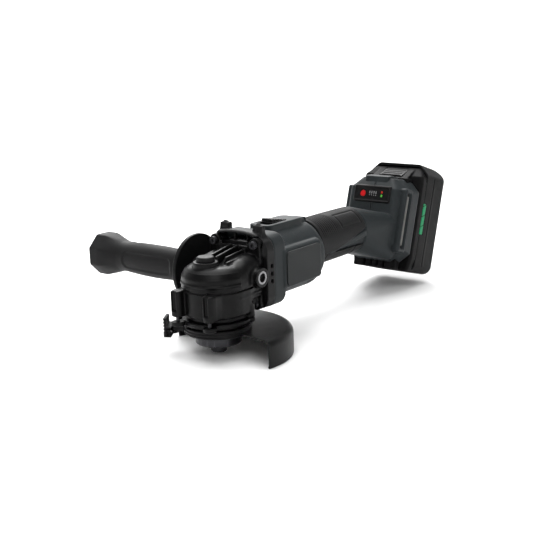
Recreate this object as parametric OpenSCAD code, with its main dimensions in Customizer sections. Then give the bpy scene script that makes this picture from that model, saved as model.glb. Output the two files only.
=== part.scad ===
// Cordless angle grinder with slide-on battery, side handle and wheel guard.
// Origin: on the spindle axis, in the outer face of the flange nut, where the free thread starts.
// +X runs back to the battery, +Y towards the side handle, +Z up the spindle.

/* [Spindle] */
// Diameter of the threaded spindle end
spindle_d = 14; // [12:0.5:16]
// Free thread below the flange nut
thread_free = 8.6; // [5:0.2:14]
// Outer diameter of the flange nut
nut_d = 41.6; // [36:0.2:46]
// Thickness of the flange nut
nut_h = 8; // [6:0.5:11]
// Thickness of the inner disc flange
flange_h = 5.5; // [4:0.5:8]
// Diameter of the pilot that centres a disc
pilot_d = 22.2; // [20:0.1:24]

/* [Gear head] */
// Width of the gear head across its nose
head_w = 62; // [56:1:76]
// Height of the motor axis above the origin
axis_h = 59; // [56:0.5:75]
// Distance from the spindle axis to the back of the gear head
head_back = 31; // [29:0.5:40]
// Distance from the spindle axis to the side handle axis
handle_x = 21; // [19:0.5:23]
// Teeth of the bevel pinion
pinion_teeth = 11; // [9:1:13]
// Teeth of the crown gear
crown_teeth = 33; // [31:1:37]

/* [Motor] */
// Diameter of the motor housing
motor_d = 66; // [62:1:82]
// Length of the motor housing behind the air deflector
motor_l = 88; // [84:1:110]
// Thickness of the air deflector
deflector_t = 11; // [9:0.5:16]
// Wall of the plastic housings
wall = 2.5; // [1.8:0.1:3]
// Diameter of the rotor shaft
shaft_d = 8; // [6:0.5:10]

/* [Grip and rear] */
// Diameter of the grip over its rubber
grip_d = 49; // [44:1:60]
// Length of the grip between motor housing and rear housing
grip_l = 85; // [70:1:110]
// Height of the grip axis above the motor axis
grip_rise = 6.5; // [4:0.5:8]
// Thickness of the rubber overmould
rubber_t = 2; // [1.2:0.1:3]
// Backward lean of the battery in degrees
lean = 17; // [8:1:20]
// Width of the rear housing
rear_w = 74; // [70:1:90]
// Depth of the rear housing in front of the battery
rear_deep = 38; // [34:1:46]

/* [Battery] */
// Width of the battery pack
pack_w = 75; // [74:1:92]
// Length of the battery pack along its rails
pack_l = 119; // [112:1:142]
// Depth of the battery pack behind the rear housing
pack_deep = 57; // [52:1:68]
// Diameter of one cell
cell_d = 18.4; // [17:0.1:18.6]

/* [Guard and handle] */
// Outer diameter of the wheel guard
guard_d = 135; // [120:1:162]
// Height of the guard skirt below its plate
guard_h = 23.5; // [15:0.5:30]
// Angle that the guard covers
guard_arc = 175; // [150:1:200]
// Thickness of the guard sheet
guard_t = 1.6; // [1.2:0.1:2.2]
// Length of the side handle from its hand guard
handle_l = 128; // [105:1:154]
// Diameter of the side handle's grip
handle_d = 32; // [26:1:40]
// Diameter of the round hand guard
hand_guard_d = 64; // [52:1:78]
// Diameter of the handle's thread
stud_d = 8; // [6:0.5:10]

/* [Hidden] */
$fn = 64;
// Gap of a running fit, of a seat between fixed pieces and of loose pieces
run_gap = 0.04;
seat_gap = 0.02;
part_gap = 0.3;
soft_fn = 32;
over = 1;

// Heights on the spindle axis
z_seat = nut_h;
z_flange_top = z_seat + flange_h;
collar_z = z_seat + 1.6;
cover_z = collar_z + 10.4;
cover_t = 4;
head_z = cover_z + cover_t;
bearing_z = z_flange_top + 3;
bearing_h = 10;
bearing_r = 16;
journal_r = 6;
hub_z = head_z + 5;
hub_top = axis_h - 9;
upper_r = 5;
tip_r = 4;
seat_r = spindle_d / 2 - 0.3;
bush_z = axis_h + 3;
bush_h = 9;
bush_r = 6.5;
head_top = axis_h + 15.5;

// Clamping collar and guard band
flange_r = nut_d / 2 - 0.8;
collar_in = max(flange_r + 0.8, bearing_r + 2.5);
collar_r = collar_in + 2.6;
band_t = 2;
band_r = collar_r + run_gap + band_t;
band_h = cover_z - collar_z - 0.8;

// Bevel gears: both pitch cones meet at the crossing of the axes
gear_in = 16;
gear_out = 21;
gear_slope = pinion_teeth / crown_teeth;
tooth_up = 0.85;
tooth_down = 1.25;
hub_r = gear_in - 0.2;
chamber_r = gear_out + 2.2;
lock_x = -13;
lock_pin_r = 2;
lock_hole_r = 2.3;
lock_travel = 3.5;
lock_top = head_top + 6.5;
button_r = 8;
spring_r = 4.4;
spring_wire = 0.9;

// Stations along the motor axis
head_r = head_w / 2;
lobe_x = head_r + 1;
lobe_y = 18.5;
lobe_r = 6;
lobe_h = axis_h - head_z - 9;
lug_back_x = 13;
lug_back_y = 26;
lug_back_r = 5;
notch_x = 17;
notch_y = 18;
pinion_x = gear_in - 0.1;
pinion_end = gear_out + 1.5;
shaft_r = shaft_d / 2;
front_bearing_x = pinion_end + 1;
front_bearing_w = 7;
front_bearing_r = shaft_r + 7;
deflector_x = head_back;
motor_x = deflector_x + deflector_t;
motor_r = motor_d / 2;
motor_end = motor_x + motor_l;
bore_r = motor_r - wall;
flange_l = 17;
flange_half = motor_r + 1;
fan_x = motor_x + 5;
fan_w = 12;
fan_r = bore_r - 2;
wind_w = 8;
stator_x = motor_x + 27;
stator_l = 30;
stator_r = bore_r - 5;
stator_in = 14.2;
rotor_r = stator_in - 0.7;
board_x = stator_x + stator_l + wind_w + 1;
rear_bearing_x = board_x + 4;
rear_bearing_w = 6;
rear_bearing_r = shaft_r + 5.5;
holder_x = rear_bearing_x - 1.5;
screw_y = motor_r - 10;
screw_z = min(motor_r - 6, axis_h - head_z - 7.5);
pad_x = motor_x + 14;
pad_l = motor_l - 30;
plate_y = motor_r + 1.5;

// Grip and rear housing
grip_z = axis_h + grip_rise;
grip_r = grip_d / 2;
shell_r = grip_r - rubber_t;
shell_in = shell_r - wall;
grip_end = motor_end + grip_l;
rear_x = grip_end + 75;
rear_z = axis_h + 3;
rear_top = 45;
rear_low = -46;
rear_half = rear_w / 2;
panel_low = 17;
panel_high = 31;
panel_half = 21;
panel_mid = (panel_low + panel_high) / 2;
panel_deep = 4;
level_y = 12;
level_r = 3.2;
light_u = [panel_mid - 2.2, panel_mid + 2.2];
channel_deep = 14;
rail_half = 26;
neck_half = 22.5;
rail_t = 3.2;
slot_n = -22.5;
slot_w = 12;
slot_low = -32;
slot_high = 31;
slot_deep = 7;
insert_w = 5;
block_half = 16;
block_back = channel_deep + wall + seat_gap;
block_low = -35;
block_high = -13;
blade_y = [-12, -4, 4, 12];
blade_low = -31;
blade_high = -17;
tongue_half = 6;
tongue_low = 34;
shell_screw_r = 1.5;
shell_screw_x = [motor_end + 34, motor_end + 74];

// Battery pack
pack_half = pack_w / 2;
pack_low = -53;
pack_high = pack_low + pack_l;
pack_shoulder = pack_high - 12;
pack_split = 10;
pack_wall = 2.4;
cell_l = 65;
cell_pitch = cell_d + 0.6;
cells_up = 5;
cells_deep = 2;
cell_u0 = pack_low + pack_wall + 6.4 + cell_d / 2;
cell_n0 = pack_wall + 3 + cell_d / 2;
stripe_low = -10;
stripe_high = 23;
release_travel = 4;
button_half = 14;
latch_n = -6.5;
latch_t = 5;

// Side handle
boss_y = max(head_r + 5, motor_r + 3);
boss_r = 9;
insert_l = 14;
insert_r = stud_d / 2 + 2;
disc_t = 4;
disc_y = boss_y + 3;
handle_y = disc_y + disc_t;
handle_r = handle_d / 2;
flare_r = handle_r + 5.5;
handle_end = disc_y + handle_l;

// Slide switch on top of the motor housing
rim_x = motor_x + 20;
rim_l = 54;
rim_half = 13;
rim_top = axis_h + motor_r + 4;
knob_x = rim_x + 12;
knob_l = 22;
knob_half = 7;
knob_h = 5.5;
switch_travel = 6;
link_half = 3;
link_t = 3;
link_high = rim_top - 5;
link_step = motor_end - 6;
link_low = grip_z + shell_in - 7;
link_end = motor_end + 8;

// Guard
guard_r = guard_d / 2;
guard_start = -12 - guard_arc / 2;
guard_z = collar_z + 4.5;
guard_bend = 6;
guard_low = guard_z - guard_h;
lug_angle = 122;
lug_r = 3.5;
lug_x = band_r + 14.6;
lug_h = 6.2;
lug_pin_r = 1.8;
lever_low = collar_z - 1.2;
lever_high = collar_z + 8.1;
lever_rise = 17.5;
lever_l = 16;
lever_t = 2.5;
lip_r = 1.2;

// Places a child that stands on +Z so that it runs along +X on the motor axis
module on_motor_axis(x) {
  translate([x, 0, axis_h]) rotate([0, 90, 0]) children();
}

// Places a child that stands on +Z so that it runs along +Y on the handle axis
module on_handle_axis(y) {
  translate([handle_x, y, axis_h]) rotate([-90, 0, 0]) children();
}

// Frame of the battery: local X is depth behind the rear housing, local Z runs up the rails
module rear_frame() {
  translate([rear_x, 0, rear_z]) rotate([0, lean, 0]) children();
}

// Tube or washer along +Z
module ring(r_out, r_in, h) {
  difference() {
    cylinder(r = r_out, h = h);
    translate([0, 0, -over]) cylinder(r = r_in, h = h + 2 * over);
  }
}

// Rectangle with round corners, true arcs
module round_rect(w, h, r) {
  square([w - 2 * r, h], center = true);
  square([w, h - 2 * r], center = true);
  for (sx = [-1, 1], sy = [-1, 1]) {
    translate([sx * (w / 2 - r), sy * (h / 2 - r)]) circle(r = r);
  }
}

// Round-cornered block: lowest corner, highest corner, corner radius, round about local X
module round_block_x(lo, hi, r) {
  size = hi - lo;
  mid = (lo + hi) / 2;
  translate([lo[0], mid[1], mid[2]]) rotate([90, 0, 90])
    linear_extrude(height = size[0]) round_rect(size[1], size[2], r);
}

// Plate on a flank: x range, y range, z range and the radius of its corners seen from the side
module flank_plate(x0, x1, y0, y1, z0, z1, r) {
  translate([(x0 + x1) / 2, y1, (z0 + z1) / 2]) rotate([90, 0, 0])
    linear_extrude(height = y1 - y0) round_rect(x1 - x0, z1 - z0, r);
}

// Sealed ball bearing along +Z
module sealed_bearing(r_out, r_in, w) {
  dent = 0.6;
  face = (r_out - r_in) * 0.25;
  rotate_extrude() difference() {
    translate([r_in, 0]) square([r_out - r_in, w]);
    for (y = [0, w - dent]) {
      translate([r_in + face, y]) square([r_out - r_in - 2 * face, dent]);
    }
  }
}

// Cylinder head screw along -Z from the underside of its head
module screw(head_r_, head_h, r, l) {
  difference() {
    union() {
      cylinder(r = head_r_, h = head_h);
      translate([0, 0, -l]) cylinder(r = r, h = l + over);
    }
    translate([0, 0, head_h / 2]) cylinder(r = head_r_ * 0.5, h = head_h, $fn = 6);
  }
}

// Outline of a straight-sided bevel gear, measured on its pitch circle of radius r
module gear_outline(teeth, r, up, down, fill) {
  pitch = 360 / teeth;
  points = [for (i = [0 : teeth - 1], c = [
    [r - down, -0.34 * fill], [r + up, -0.15 * fill], [r + up, 0.15 * fill], [r - down, 0.34 * fill]
  ]) [c[0] * cos((i + c[1]) * pitch), c[0] * sin((i + c[1]) * pitch)]];
  polygon(points);
}

// ---------------------------------------------------------------- gear head

module nose_lobe(side) {
  translate([-head_r, side * lobe_y, head_z]) cylinder(r = lobe_r, h = lobe_h);
  translate([-head_r, side * lobe_y + 0.3 - lobe_r, head_z]) cube([head_r / 2, 2 * lobe_r - 0.6, lobe_h]);
}

module gear_case_body() {
  low_r = head_r;
  roof = head_top - 1;
  hull() {
    translate([0, 0, head_z]) cylinder(r = low_r - 1.5, h = 2, $fn = soft_fn);
    translate([0, 0, head_z + 3]) cylinder(r = low_r, h = axis_h - head_z - 6, $fn = soft_fn);
    translate([head_back - 9, -low_r, head_z + 6]) cube([5, 2 * low_r, axis_h - head_z]);
  }
  hull() {
    translate([0, 0, axis_h - 4]) cylinder(r = low_r, h = 1, $fn = soft_fn);
    translate([-2, 0, axis_h + 5]) cylinder(r = low_r - 5, h = 1, $fn = soft_fn);
    translate([-2, 0, roof - 2]) cylinder(r = low_r - 12, h = 2, $fn = soft_fn);
    translate([head_back - 6, -low_r + 3, axis_h]) cube([2, 2 * low_r - 6, 10]);
    translate([head_back - 6, -low_r + 11, axis_h]) cube([2, 2 * low_r - 22, 19]);
  }
}

module gear_case() {
  color("dimgray") difference() {
    union() {
      gear_case_body();
      for (s = [-1, 1]) {
        nose_lobe(s);
        translate([lug_back_x, s * lug_back_y, head_z]) cylinder(r = lug_back_r, h = 13);
      }
      // rear flange with its four ears
      translate([head_back - 4.5, 0, 0]) round_block_x([0, -screw_y + 4, axis_h - screw_z - 5],
        [4.5, screw_y - 4, axis_h + screw_z - 2.2], 5);
      for (sy = [-1, 1], sz = [-1, 1]) {
        translate([head_back - 4.5, sy * screw_y, axis_h + sz * screw_z]) rotate([0, 90, 0])
          cylinder(r = 6, h = 4.5);
        hull() {
          translate([head_back - 4.5, sy * (screw_y - 1), axis_h + sz * (screw_z - 4)])
            rotate([0, 90, 0]) cylinder(r = 5, h = 4.5, $fn = soft_fn);
          translate([head_back - 4.5, sy * (screw_y - 8), axis_h + sz * 12]) rotate([0, 90, 0])
            cylinder(r = 8, h = 4.5, $fn = soft_fn);
        }
      }
      // side handle bosses
      on_handle_axis(-boss_y) cylinder(r = boss_r, h = 2 * boss_y);
      // collar round the lock button
      translate([lock_x, 0, head_top - 12]) cylinder(r = button_r + 2, h = 13.5);
      // cooling fins on the roof
      for (i = [-1 : 2]) {
        translate([-6, i * 6 - 4.3, head_top - 6]) rotate([0, -3, 0]) cube([head_back, 2.4, 7]);
      }
    }
    // gear chamber
    translate([0, 0, head_z - over]) cylinder(r = chamber_r, h = axis_h - head_z - 2 + over);
    on_motor_axis(8) cylinder(r = 10, h = head_back);
    on_motor_axis(front_bearing_x) cylinder(r = front_bearing_r + seat_gap, h = head_back);
    // upper bush and lock pin guides
    translate([0, 0, axis_h - 4]) cylinder(r = upper_r + 1, h = 8);
    translate([0, 0, bush_z]) cylinder(r = bush_r + seat_gap, h = bush_h + 0.8);
    translate([lock_x, 0, head_z]) cylinder(r = lock_pin_r + run_gap, h = head_top);
    translate([lock_x, 0, axis_h + 4.5]) cylinder(r = spring_r + 0.4, h = head_top);
    translate([lock_x, 0, lock_top - 5 - lock_travel - 0.2]) cylinder(r = button_r + part_gap, h = 20);
    // notches that give the lower flange screws room
    for (s = [-1, 1]) {
      translate([notch_x, s > 0 ? notch_y : -notch_y - head_r, head_z - over])
        cube([head_back - 4.5 - notch_x, head_r, axis_h - screw_z + 5.5 - head_z + over]);
    }
    // handle inserts
    for (s = [-1, 1]) {
      on_handle_axis(s * (boss_y - insert_l / 2) - insert_l / 2)
        cylinder(r = insert_r + seat_gap, h = insert_l);
    }
    // rear flange screw holes
    for (sy = [-1, 1], sz = [-1, 1]) {
      translate([0, sy * screw_y, axis_h + sz * screw_z]) rotate([0, 90, 0])
        cylinder(r = 2.15, h = head_back + over);
    }
    // bearing cover screws: channels down the nose and blind holes above the cover
    for (s = [-1, 1]) {
      translate([-lobe_x, s * lobe_y, head_z + 5]) cylinder(r = 3.6, h = axis_h);
      translate([-lobe_x - 10, s * lobe_y - 3, head_z + 9]) cube([10, 6, axis_h]);
      translate([-lobe_x, s * lobe_y, head_z - over]) cylinder(r = 1.7, h = 20);
      translate([lug_back_x, s * lug_back_y, head_z - over]) cylinder(r = 1.7, h = 11);
    }
  }
}

module gear_case_screws() {
  color("silver") for (sy = [-1, 1], sz = [-1, 1]) {
    translate([head_back - 4.5, sy * screw_y, axis_h + sz * screw_z]) rotate([0, -90, 0])
      screw(3.6, 3.4, 2.1, deflector_t + 12);
  }
}

module bearing_cover() {
  color("dimgray") difference() {
    union() {
      translate([0, 0, collar_z]) cylinder(r = collar_r, h = cover_z - collar_z + over);
      translate([0, 0, cover_z]) cylinder(r = head_r - 0.5, h = cover_t);
      translate([0, 0, cover_z]) cylinder(r = chamber_r - 0.1, h = bearing_z + bearing_h - cover_z);
      for (s = [-1, 1]) {
        translate([-head_r, s * lobe_y, cover_z]) cylinder(r = lobe_r, h = cover_t);
        translate([lug_back_x, s * lug_back_y, cover_z]) cylinder(r = lug_back_r, h = cover_t);
      }
    }
    translate([0, 0, collar_z - over]) cylinder(r = collar_in, h = z_flange_top + 0.5 - collar_z + over);
    translate([0, 0, collar_z]) cylinder(r = journal_r + 4, h = 20);
    translate([0, 0, bearing_z]) cylinder(r = bearing_r + seat_gap, h = 30);
    for (s = [-1, 1]) {
      translate([-lobe_x, s * lobe_y, cover_z - over]) cylinder(r = 1.7, h = 20);
      translate([lug_back_x, s * lug_back_y, cover_z - over]) cylinder(r = 2.1, h = 20);
    }
  }
}

module bearing_cover_screws() {
  color("silver") for (s = [-1, 1]) {
    translate([-lobe_x, s * lobe_y, head_z + 5]) screw(3.2, 2.4, 1.65, cover_t + 4);
    translate([lug_back_x, s * lug_back_y, cover_z]) rotate([180, 0, 0]) screw(3, 2, 1.65, cover_t + 8);
  }
}

module dust_seal() {
  color("black") translate([0, 0, z_flange_top + 0.7])
    ring(journal_r + 3.9, journal_r + 2.6 + run_gap, bearing_z - z_flange_top - 1);
}

module spindle_bearing() {
  color("silver") translate([0, 0, bearing_z]) sealed_bearing(bearing_r, journal_r + run_gap, bearing_h);
}

module spindle_bush() {
  color("darkgoldenrod") translate([0, 0, bush_z]) ring(bush_r, tip_r + run_gap, bush_h);
}

module handle_inserts() {
  color("silver") for (s = [-1, 1]) {
    on_handle_axis(s * (boss_y - insert_l / 2) - insert_l / 2)
      ring(insert_r, stud_d / 2 + (s > 0 ? run_gap : 0), insert_l);
  }
}

module pinion_bearing() {
  color("silver") on_motor_axis(front_bearing_x)
    sealed_bearing(front_bearing_r, shaft_r + run_gap, front_bearing_w);
}

// ---------------------------------------------------------------- spindle

module spindle() {
  tip = 1;
  thread_r = spindle_d / 2;
  color("silver") difference() {
    union() {
      translate([0, 0, -thread_free]) cylinder(r1 = thread_r - tip, r2 = thread_r, h = tip);
      translate([0, 0, tip - thread_free]) cylinder(r = thread_r, h = thread_free - tip);
      translate([0, 0, -over / 2]) cylinder(r = seat_r, h = z_flange_top + over / 2);
      translate([0, 0, z_flange_top]) cylinder(r = journal_r + 2.6, h = bearing_z - z_flange_top);
      translate([0, 0, bearing_z]) cylinder(r = journal_r, h = hub_top - bearing_z);
      translate([0, 0, hub_top]) cylinder(r = upper_r, h = bush_z - hub_top - 1);
      translate([0, 0, bush_z - 1]) cylinder(r = tip_r, h = bush_h + 1);
    }
    translate([0, 0, -thread_free - over]) cylinder(r = 2.6, h = 6, $fn = 6);
  }
}

module crown_gear() {
  z_low = axis_h - gear_out * gear_slope - 3.5;
  z_high = axis_h - gear_in * gear_slope + tooth_up;
  reach = (axis_h - z_low) / gear_slope;
  lift = 1 / gear_slope;
  color("darkgray") difference() {
    union() {
      translate([0, 0, hub_z]) cylinder(r = hub_r, h = hub_top - hub_z);
      translate([0, 0, z_low - 6]) cylinder(r = gear_out + 0.4, h = 6.2);
      intersection() {
        translate([0, 0, z_low]) rotate([0, 0, 180 / crown_teeth])
          linear_extrude(height = z_high - z_low, scale = (axis_h - z_high) / (axis_h - z_low))
            gear_outline(crown_teeth, reach, tooth_up * lift * reach / gear_out,
              tooth_down * lift * reach / gear_out, 0.9);
        translate([0, 0, z_low - over]) ring(gear_out, gear_in, 20);
      }
    }
    translate([0, 0, hub_z - over]) cylinder(r = journal_r + seat_gap, h = hub_top);
    for (i = [0 : 3]) {
      rotate([0, 0, i * 90]) translate([lock_x, 0, hub_top - 5]) cylinder(r = lock_hole_r, h = 10);
    }
  }
}

module inner_flange() {
  color("gray") difference() {
    union() {
      translate([0, 0, z_seat]) cylinder(r = flange_r, h = flange_h);
      translate([0, 0, z_seat - 1.6]) cylinder(r = pilot_d / 2, h = 1.6 + over);
    }
    translate([0, 0, -over]) cylinder(r = seat_r + seat_gap, h = 30);
  }
}

module flange_nut() {
  nut_r = nut_d / 2;
  color("dimgray") difference() {
    union() {
      cylinder(r1 = nut_r - 1.2, r2 = nut_r, h = 1.2);
      translate([0, 0, 1.2]) cylinder(r = nut_r, h = nut_h - 1.2);
    }
    translate([0, 0, -over]) cylinder(r = seat_r + run_gap, h = 30);
    translate([0, 0, nut_h - 2]) cylinder(r = pilot_d / 2 + part_gap, h = 10);
    // shallow dish in the outer face and four holes for a pin spanner
    translate([0, 0, -over]) ring(nut_r - 4, spindle_d / 2 + 4, over + 0.8);
    for (a = [0 : 90 : 270]) {
      rotate([0, 0, a + 45]) translate([15, 0, -over]) cylinder(r = 2.5, h = 5);
    }
  }
}

// ---------------------------------------------------------------- motor

module pinion() {
  x_low = pinion_end;
  reach = x_low * gear_slope;
  color("silver") difference() {
    on_motor_axis(x_low) rotate([0, 180, 180])
      linear_extrude(height = x_low - pinion_x, scale = pinion_x / x_low)
        gear_outline(pinion_teeth, reach, tooth_up * x_low / gear_out, tooth_down * x_low / gear_out, 0.85);
    on_motor_axis(0) cylinder(r = 2.5 + seat_gap, h = 60);
  }
}

module rotor_shaft() {
  color("silver") {
    on_motor_axis(pinion_x) cylinder(r = 2.5, h = pinion_end - pinion_x + over / 2);
    on_motor_axis(pinion_end + seat_gap)
      cylinder(r = shaft_r, h = rear_bearing_x + rear_bearing_w - pinion_end);
  }
}

module rotor() {
  color("gray") on_motor_axis(stator_x + 0.5) difference() {
    cylinder(r = rotor_r, h = stator_l - 1);
    translate([0, 0, -over]) cylinder(r = shaft_r + seat_gap, h = stator_l + 2 * over);
    for (a = [0 : 90 : 270]) {
      rotate([0, 0, a]) translate([rotor_r - 5, -3.5, -over]) cube([2, 7, 4]);
    }
  }
}

module cooling_fan() {
  blades = 11;
  color("dimgray") on_motor_axis(fan_x) difference() {
    union() {
      cylinder(r = shaft_r + 4, h = fan_w);
      translate([0, 0, fan_w - 2]) cylinder(r = fan_r, h = 2);
      for (i = [0 : blades - 1]) {
        rotate([0, 0, i * 360 / blades]) translate([shaft_r + 6, -0.8, 1]) rotate([0, 0, 18])
          cube([fan_r - shaft_r - 8, 1.6, fan_w - 2]);
      }
    }
    translate([0, 0, -over]) cylinder(r = shaft_r + seat_gap, h = fan_w + 2 * over);
  }
}

module rear_bearing() {
  color("silver") on_motor_axis(rear_bearing_x)
    sealed_bearing(rear_bearing_r, shaft_r + run_gap, rear_bearing_w);
}

module stator() {
  teeth = 6;
  color("slategray") on_motor_axis(stator_x) difference() {
    cylinder(r = stator_r, h = stator_l);
    translate([0, 0, -over]) cylinder(r = stator_in, h = stator_l + 2 * over);
    for (i = [0 : teeth - 1]) {
      rotate([0, 0, i * 360 / teeth]) translate([stator_in + 1.5, -3.5, -over])
        cube([stator_r - stator_in - 4.5, 7, stator_l + 2 * over]);
    }
  }
}

module windings() {
  coils = 6;
  color("peru") for (side = [0, 1], i = [0 : coils - 1]) {
    on_motor_axis(side == 0 ? stator_x - wind_w + 1.5 : stator_x + stator_l)
      rotate([0, 0, (i + 0.5) * 360 / coils])
      rotate([0, 0, -22]) rotate_extrude(angle = 44) translate([stator_in + 1.5, 0])
        square([stator_r - stator_in - 3.5, wind_w - 1.5]);
  }
}

module sensor_board() {
  color("darkgreen") on_motor_axis(board_x) ring(stator_r - 2, shaft_r + 2, 1.6);
}

// ---------------------------------------------------------------- spindle lock

module lock_button() {
  color("dimgray") translate([lock_x, 0, lock_top - 5]) difference() {
    union() {
      cylinder(r = button_r, h = 4);
      translate([0, 0, 4]) cylinder(r1 = button_r, r2 = button_r - 1, h = 1);
    }
    translate([0, 0, -over]) cylinder(r = lock_pin_r + seat_gap, h = over + 2.5);
  }
}

module lock_pin() {
  color("silver") translate([lock_x, 0, hub_top + 0.8])
    cylinder(r = lock_pin_r, h = lock_top - 2.5 - hub_top - 0.8);
}

// Coil spring as a stack of wire rings joined by a thin inner sleeve
module spring_stack(r, wire, h, turns) {
  pitch = (h - 2 * wire) / (turns - 1);
  for (i = [0 : turns - 1]) {
    translate([0, 0, wire + i * pitch]) rotate_extrude()
      translate([r - wire, 0]) circle(r = wire, $fn = 16);
  }
  ring(r - wire + 0.25, r - wire - 0.25, h);
}

module lock_spring() {
  base = axis_h + 4.5;
  color("silver") translate([lock_x, 0, base])
    spring_stack(spring_r, spring_wire, lock_top - 5 - base, 5);
}

// ---------------------------------------------------------------- deflector and motor housing

module flange_outline() {
  round_rect(2 * flange_half - 2, 2 * flange_half, 13);
}

module air_deflector() {
  bridge_x = deflector_x - 3;
  bridge_low = axis_h + motor_r - 8;
  bridge_high = axis_h + motor_r + 4.5;
  color("dimgray") difference() {
    union() {
      on_motor_axis(deflector_x) rotate([0, 0, 90]) linear_extrude(height = deflector_t) flange_outline();
      // bridge over the air outlet
      round_block_x([bridge_x, -26, bridge_low], [motor_x, 26, bridge_high], 3);
      // two stops beside the bridge
      for (s = [-1, 1]) {
        round_block_x([motor_x - 6, s * 19 - 5.5, axis_h + motor_r - 6],
          [motor_x, s * 19 + 5.5, axis_h + motor_r + 9.5], 2);
      }
    }
    on_motor_axis(deflector_x - over) cylinder(r = 12.5, h = deflector_t + 2 * over);
    round_block_x([bridge_x - over, -21.5, bridge_low + 2.5], [motor_x + over, 21.5, bridge_high - 2.5], 3);
    // side air outlets
    for (s = [-1, 1], i = [-1 : 1]) {
      translate([motor_x - 6, s * 24 - 9, axis_h + i * 7 - 1.8]) cube([7, 18, 3.6]);
    }
    for (sy = [-1, 1], sz = [-1, 1]) {
      translate([deflector_x - over, sy * screw_y, axis_h + sz * screw_z]) rotate([0, 90, 0])
        cylinder(r = 2.3, h = deflector_t + 2 * over);
    }
    // room for the heads and ears of the gear case at the top corners
    for (s = [-1, 1]) {
      translate([bridge_x - over, s * (screw_y + 1) - 7.5, axis_h + screw_z - 6.5])
        cube([3 + over, 15, 14]);
    }
  }
}

// Barrel of the motor housing: a turned tube whose rear edge is rounded
module barrel_profile() {
  round_r = 12;
  square([motor_r, motor_l - round_r]);
  square([motor_r - round_r, motor_l]);
  translate([motor_r - round_r, motor_l - round_r]) circle(r = round_r);
}

// Room for the switch link from x0 to x1 and from z0 to z1
module link_room(x0, x1, z0, z1) {
  translate([x0, -link_half - part_gap, z0 - part_gap])
    cube([x1 - x0, 2 * (link_half + part_gap), z1 - z0 + 2 * part_gap]);
}

module motor_housing() {
  holder_end = rear_bearing_x + rear_bearing_w;
  color("slategray") difference() {
    union() {
      on_motor_axis(motor_x) rotate_extrude() intersection() {
        barrel_profile();
        square([motor_r + over, motor_l]);
      }
      on_motor_axis(motor_x) rotate([0, 0, 90]) linear_extrude(height = flange_l) flange_outline();
      // side pads for the plates
      round_block_x([pad_x, -motor_r - 1.5, axis_h - 20], [pad_x + pad_l, motor_r + 1.5, axis_h + 19], 6);
      // rim round the slide switch
      translate([rim_x + rim_l / 2, 0, axis_h + motor_r - 5])
        linear_extrude(height = rim_top - axis_h - motor_r + 5) round_rect(rim_l, 2 * rim_half, 6);
      // neck that the grip shells hold
      translate([motor_end - 6, 0, grip_z]) rotate([0, 90, 0]) cylinder(r = shell_in - part_gap, h = 14);
    }
    // main bore, cut in steps that leave the stator seat and the bearing holder
    on_motor_axis(motor_x - over) cylinder(r = bore_r, h = stator_x - motor_x + over + 4);
    on_motor_axis(stator_x - over) cylinder(r = stator_r + seat_gap, h = holder_x - stator_x + over);
    on_motor_axis(stator_x + stator_l + 2) cylinder(r = bore_r, h = holder_x - stator_x - stator_l - 2);
    for (a = [45 : 90 : 315]) {
      on_motor_axis(stator_x) rotate([0, 0, a]) translate([stator_r - 1, -6, 0])
        cube([5, 12, stator_l + 4]);
    }
    on_motor_axis(holder_x - over)
      cylinder(r = rear_bearing_r + seat_gap, h = holder_end - holder_x + over);
    on_motor_axis(holder_end - over) cylinder(r = shaft_r + 2, h = 4);
    for (a = [0 : 60 : 300]) {
      on_motor_axis(holder_x - over) rotate([0, 0, a]) translate([rear_bearing_r + 4.5, -3, 0])
        cube([7, 6, 9]);
    }
    on_motor_axis(holder_end + 2) cylinder(r = bore_r - 9, h = motor_end - holder_end - 2 - wall);
    translate([motor_end - wall - over, 0, grip_z]) rotate([0, 90, 0]) cylinder(r = shell_in - 4, h = 20);
    // two grooves round the top of the barrel
    for (x = [motor_x + 31, motor_x + 48]) {
      intersection() {
        on_motor_axis(x) ring(motor_r + over, motor_r - 0.8, 1.3);
        translate([x - over, -50, axis_h + 19.5]) cube([5, 100, 40]);
      }
    }
    // recess for the side plates
    for (s = [-1, 1]) {
      flank_plate(pad_x + 3, pad_x + pad_l - 3, s * plate_y - 1.2, s * plate_y + 1.2,
        axis_h - 16.5, axis_h + 15.5, 4);
    }
    // slot for the switch slider and its link, which move forward
    translate([knob_x - switch_travel - part_gap, -knob_half - part_gap, rim_top - 2])
      cube([knob_l + switch_travel + 2 * part_gap, 2 * (knob_half + part_gap), 10]);
    link_room(knob_x + 5 - switch_travel, knob_x + 15, link_high, rim_top);
    link_room(knob_x + 5 - switch_travel, link_step + 1, link_high, link_high + link_t);
    link_room(link_step - 4 - switch_travel, link_step + 1, link_low, link_high + link_t);
    link_room(link_step - 4 - switch_travel, motor_end + 20, link_low, link_low + link_t);
    // air slots near the rear edge
    for (s = [-1, 1], i = [0 : 4]) {
      translate([motor_end - 24, s * (motor_r - 12) - 12, axis_h - 29 + i * 4.2]) cube([11, 24, 2]);
    }
    for (sy = [-1, 1], sz = [-1, 1]) {
      translate([motor_x - over, sy * screw_y, axis_h + sz * screw_z]) rotate([0, 90, 0])
        cylinder(r = 2.15, h = 14);
    }
  }
}

module side_plates() {
  color("darkslategray") for (s = [-1, 1]) {
    flank_plate(pad_x + 3 + seat_gap, pad_x + pad_l - 3 - seat_gap, s * plate_y - (s > 0 ? 1.18 : 0.9),
      s * plate_y + (s > 0 ? 0.9 : 1.18), axis_h - 16.5 + seat_gap, axis_h + 15.5 - seat_gap, 4);
  }
}

// ---------------------------------------------------------------- switch

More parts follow.
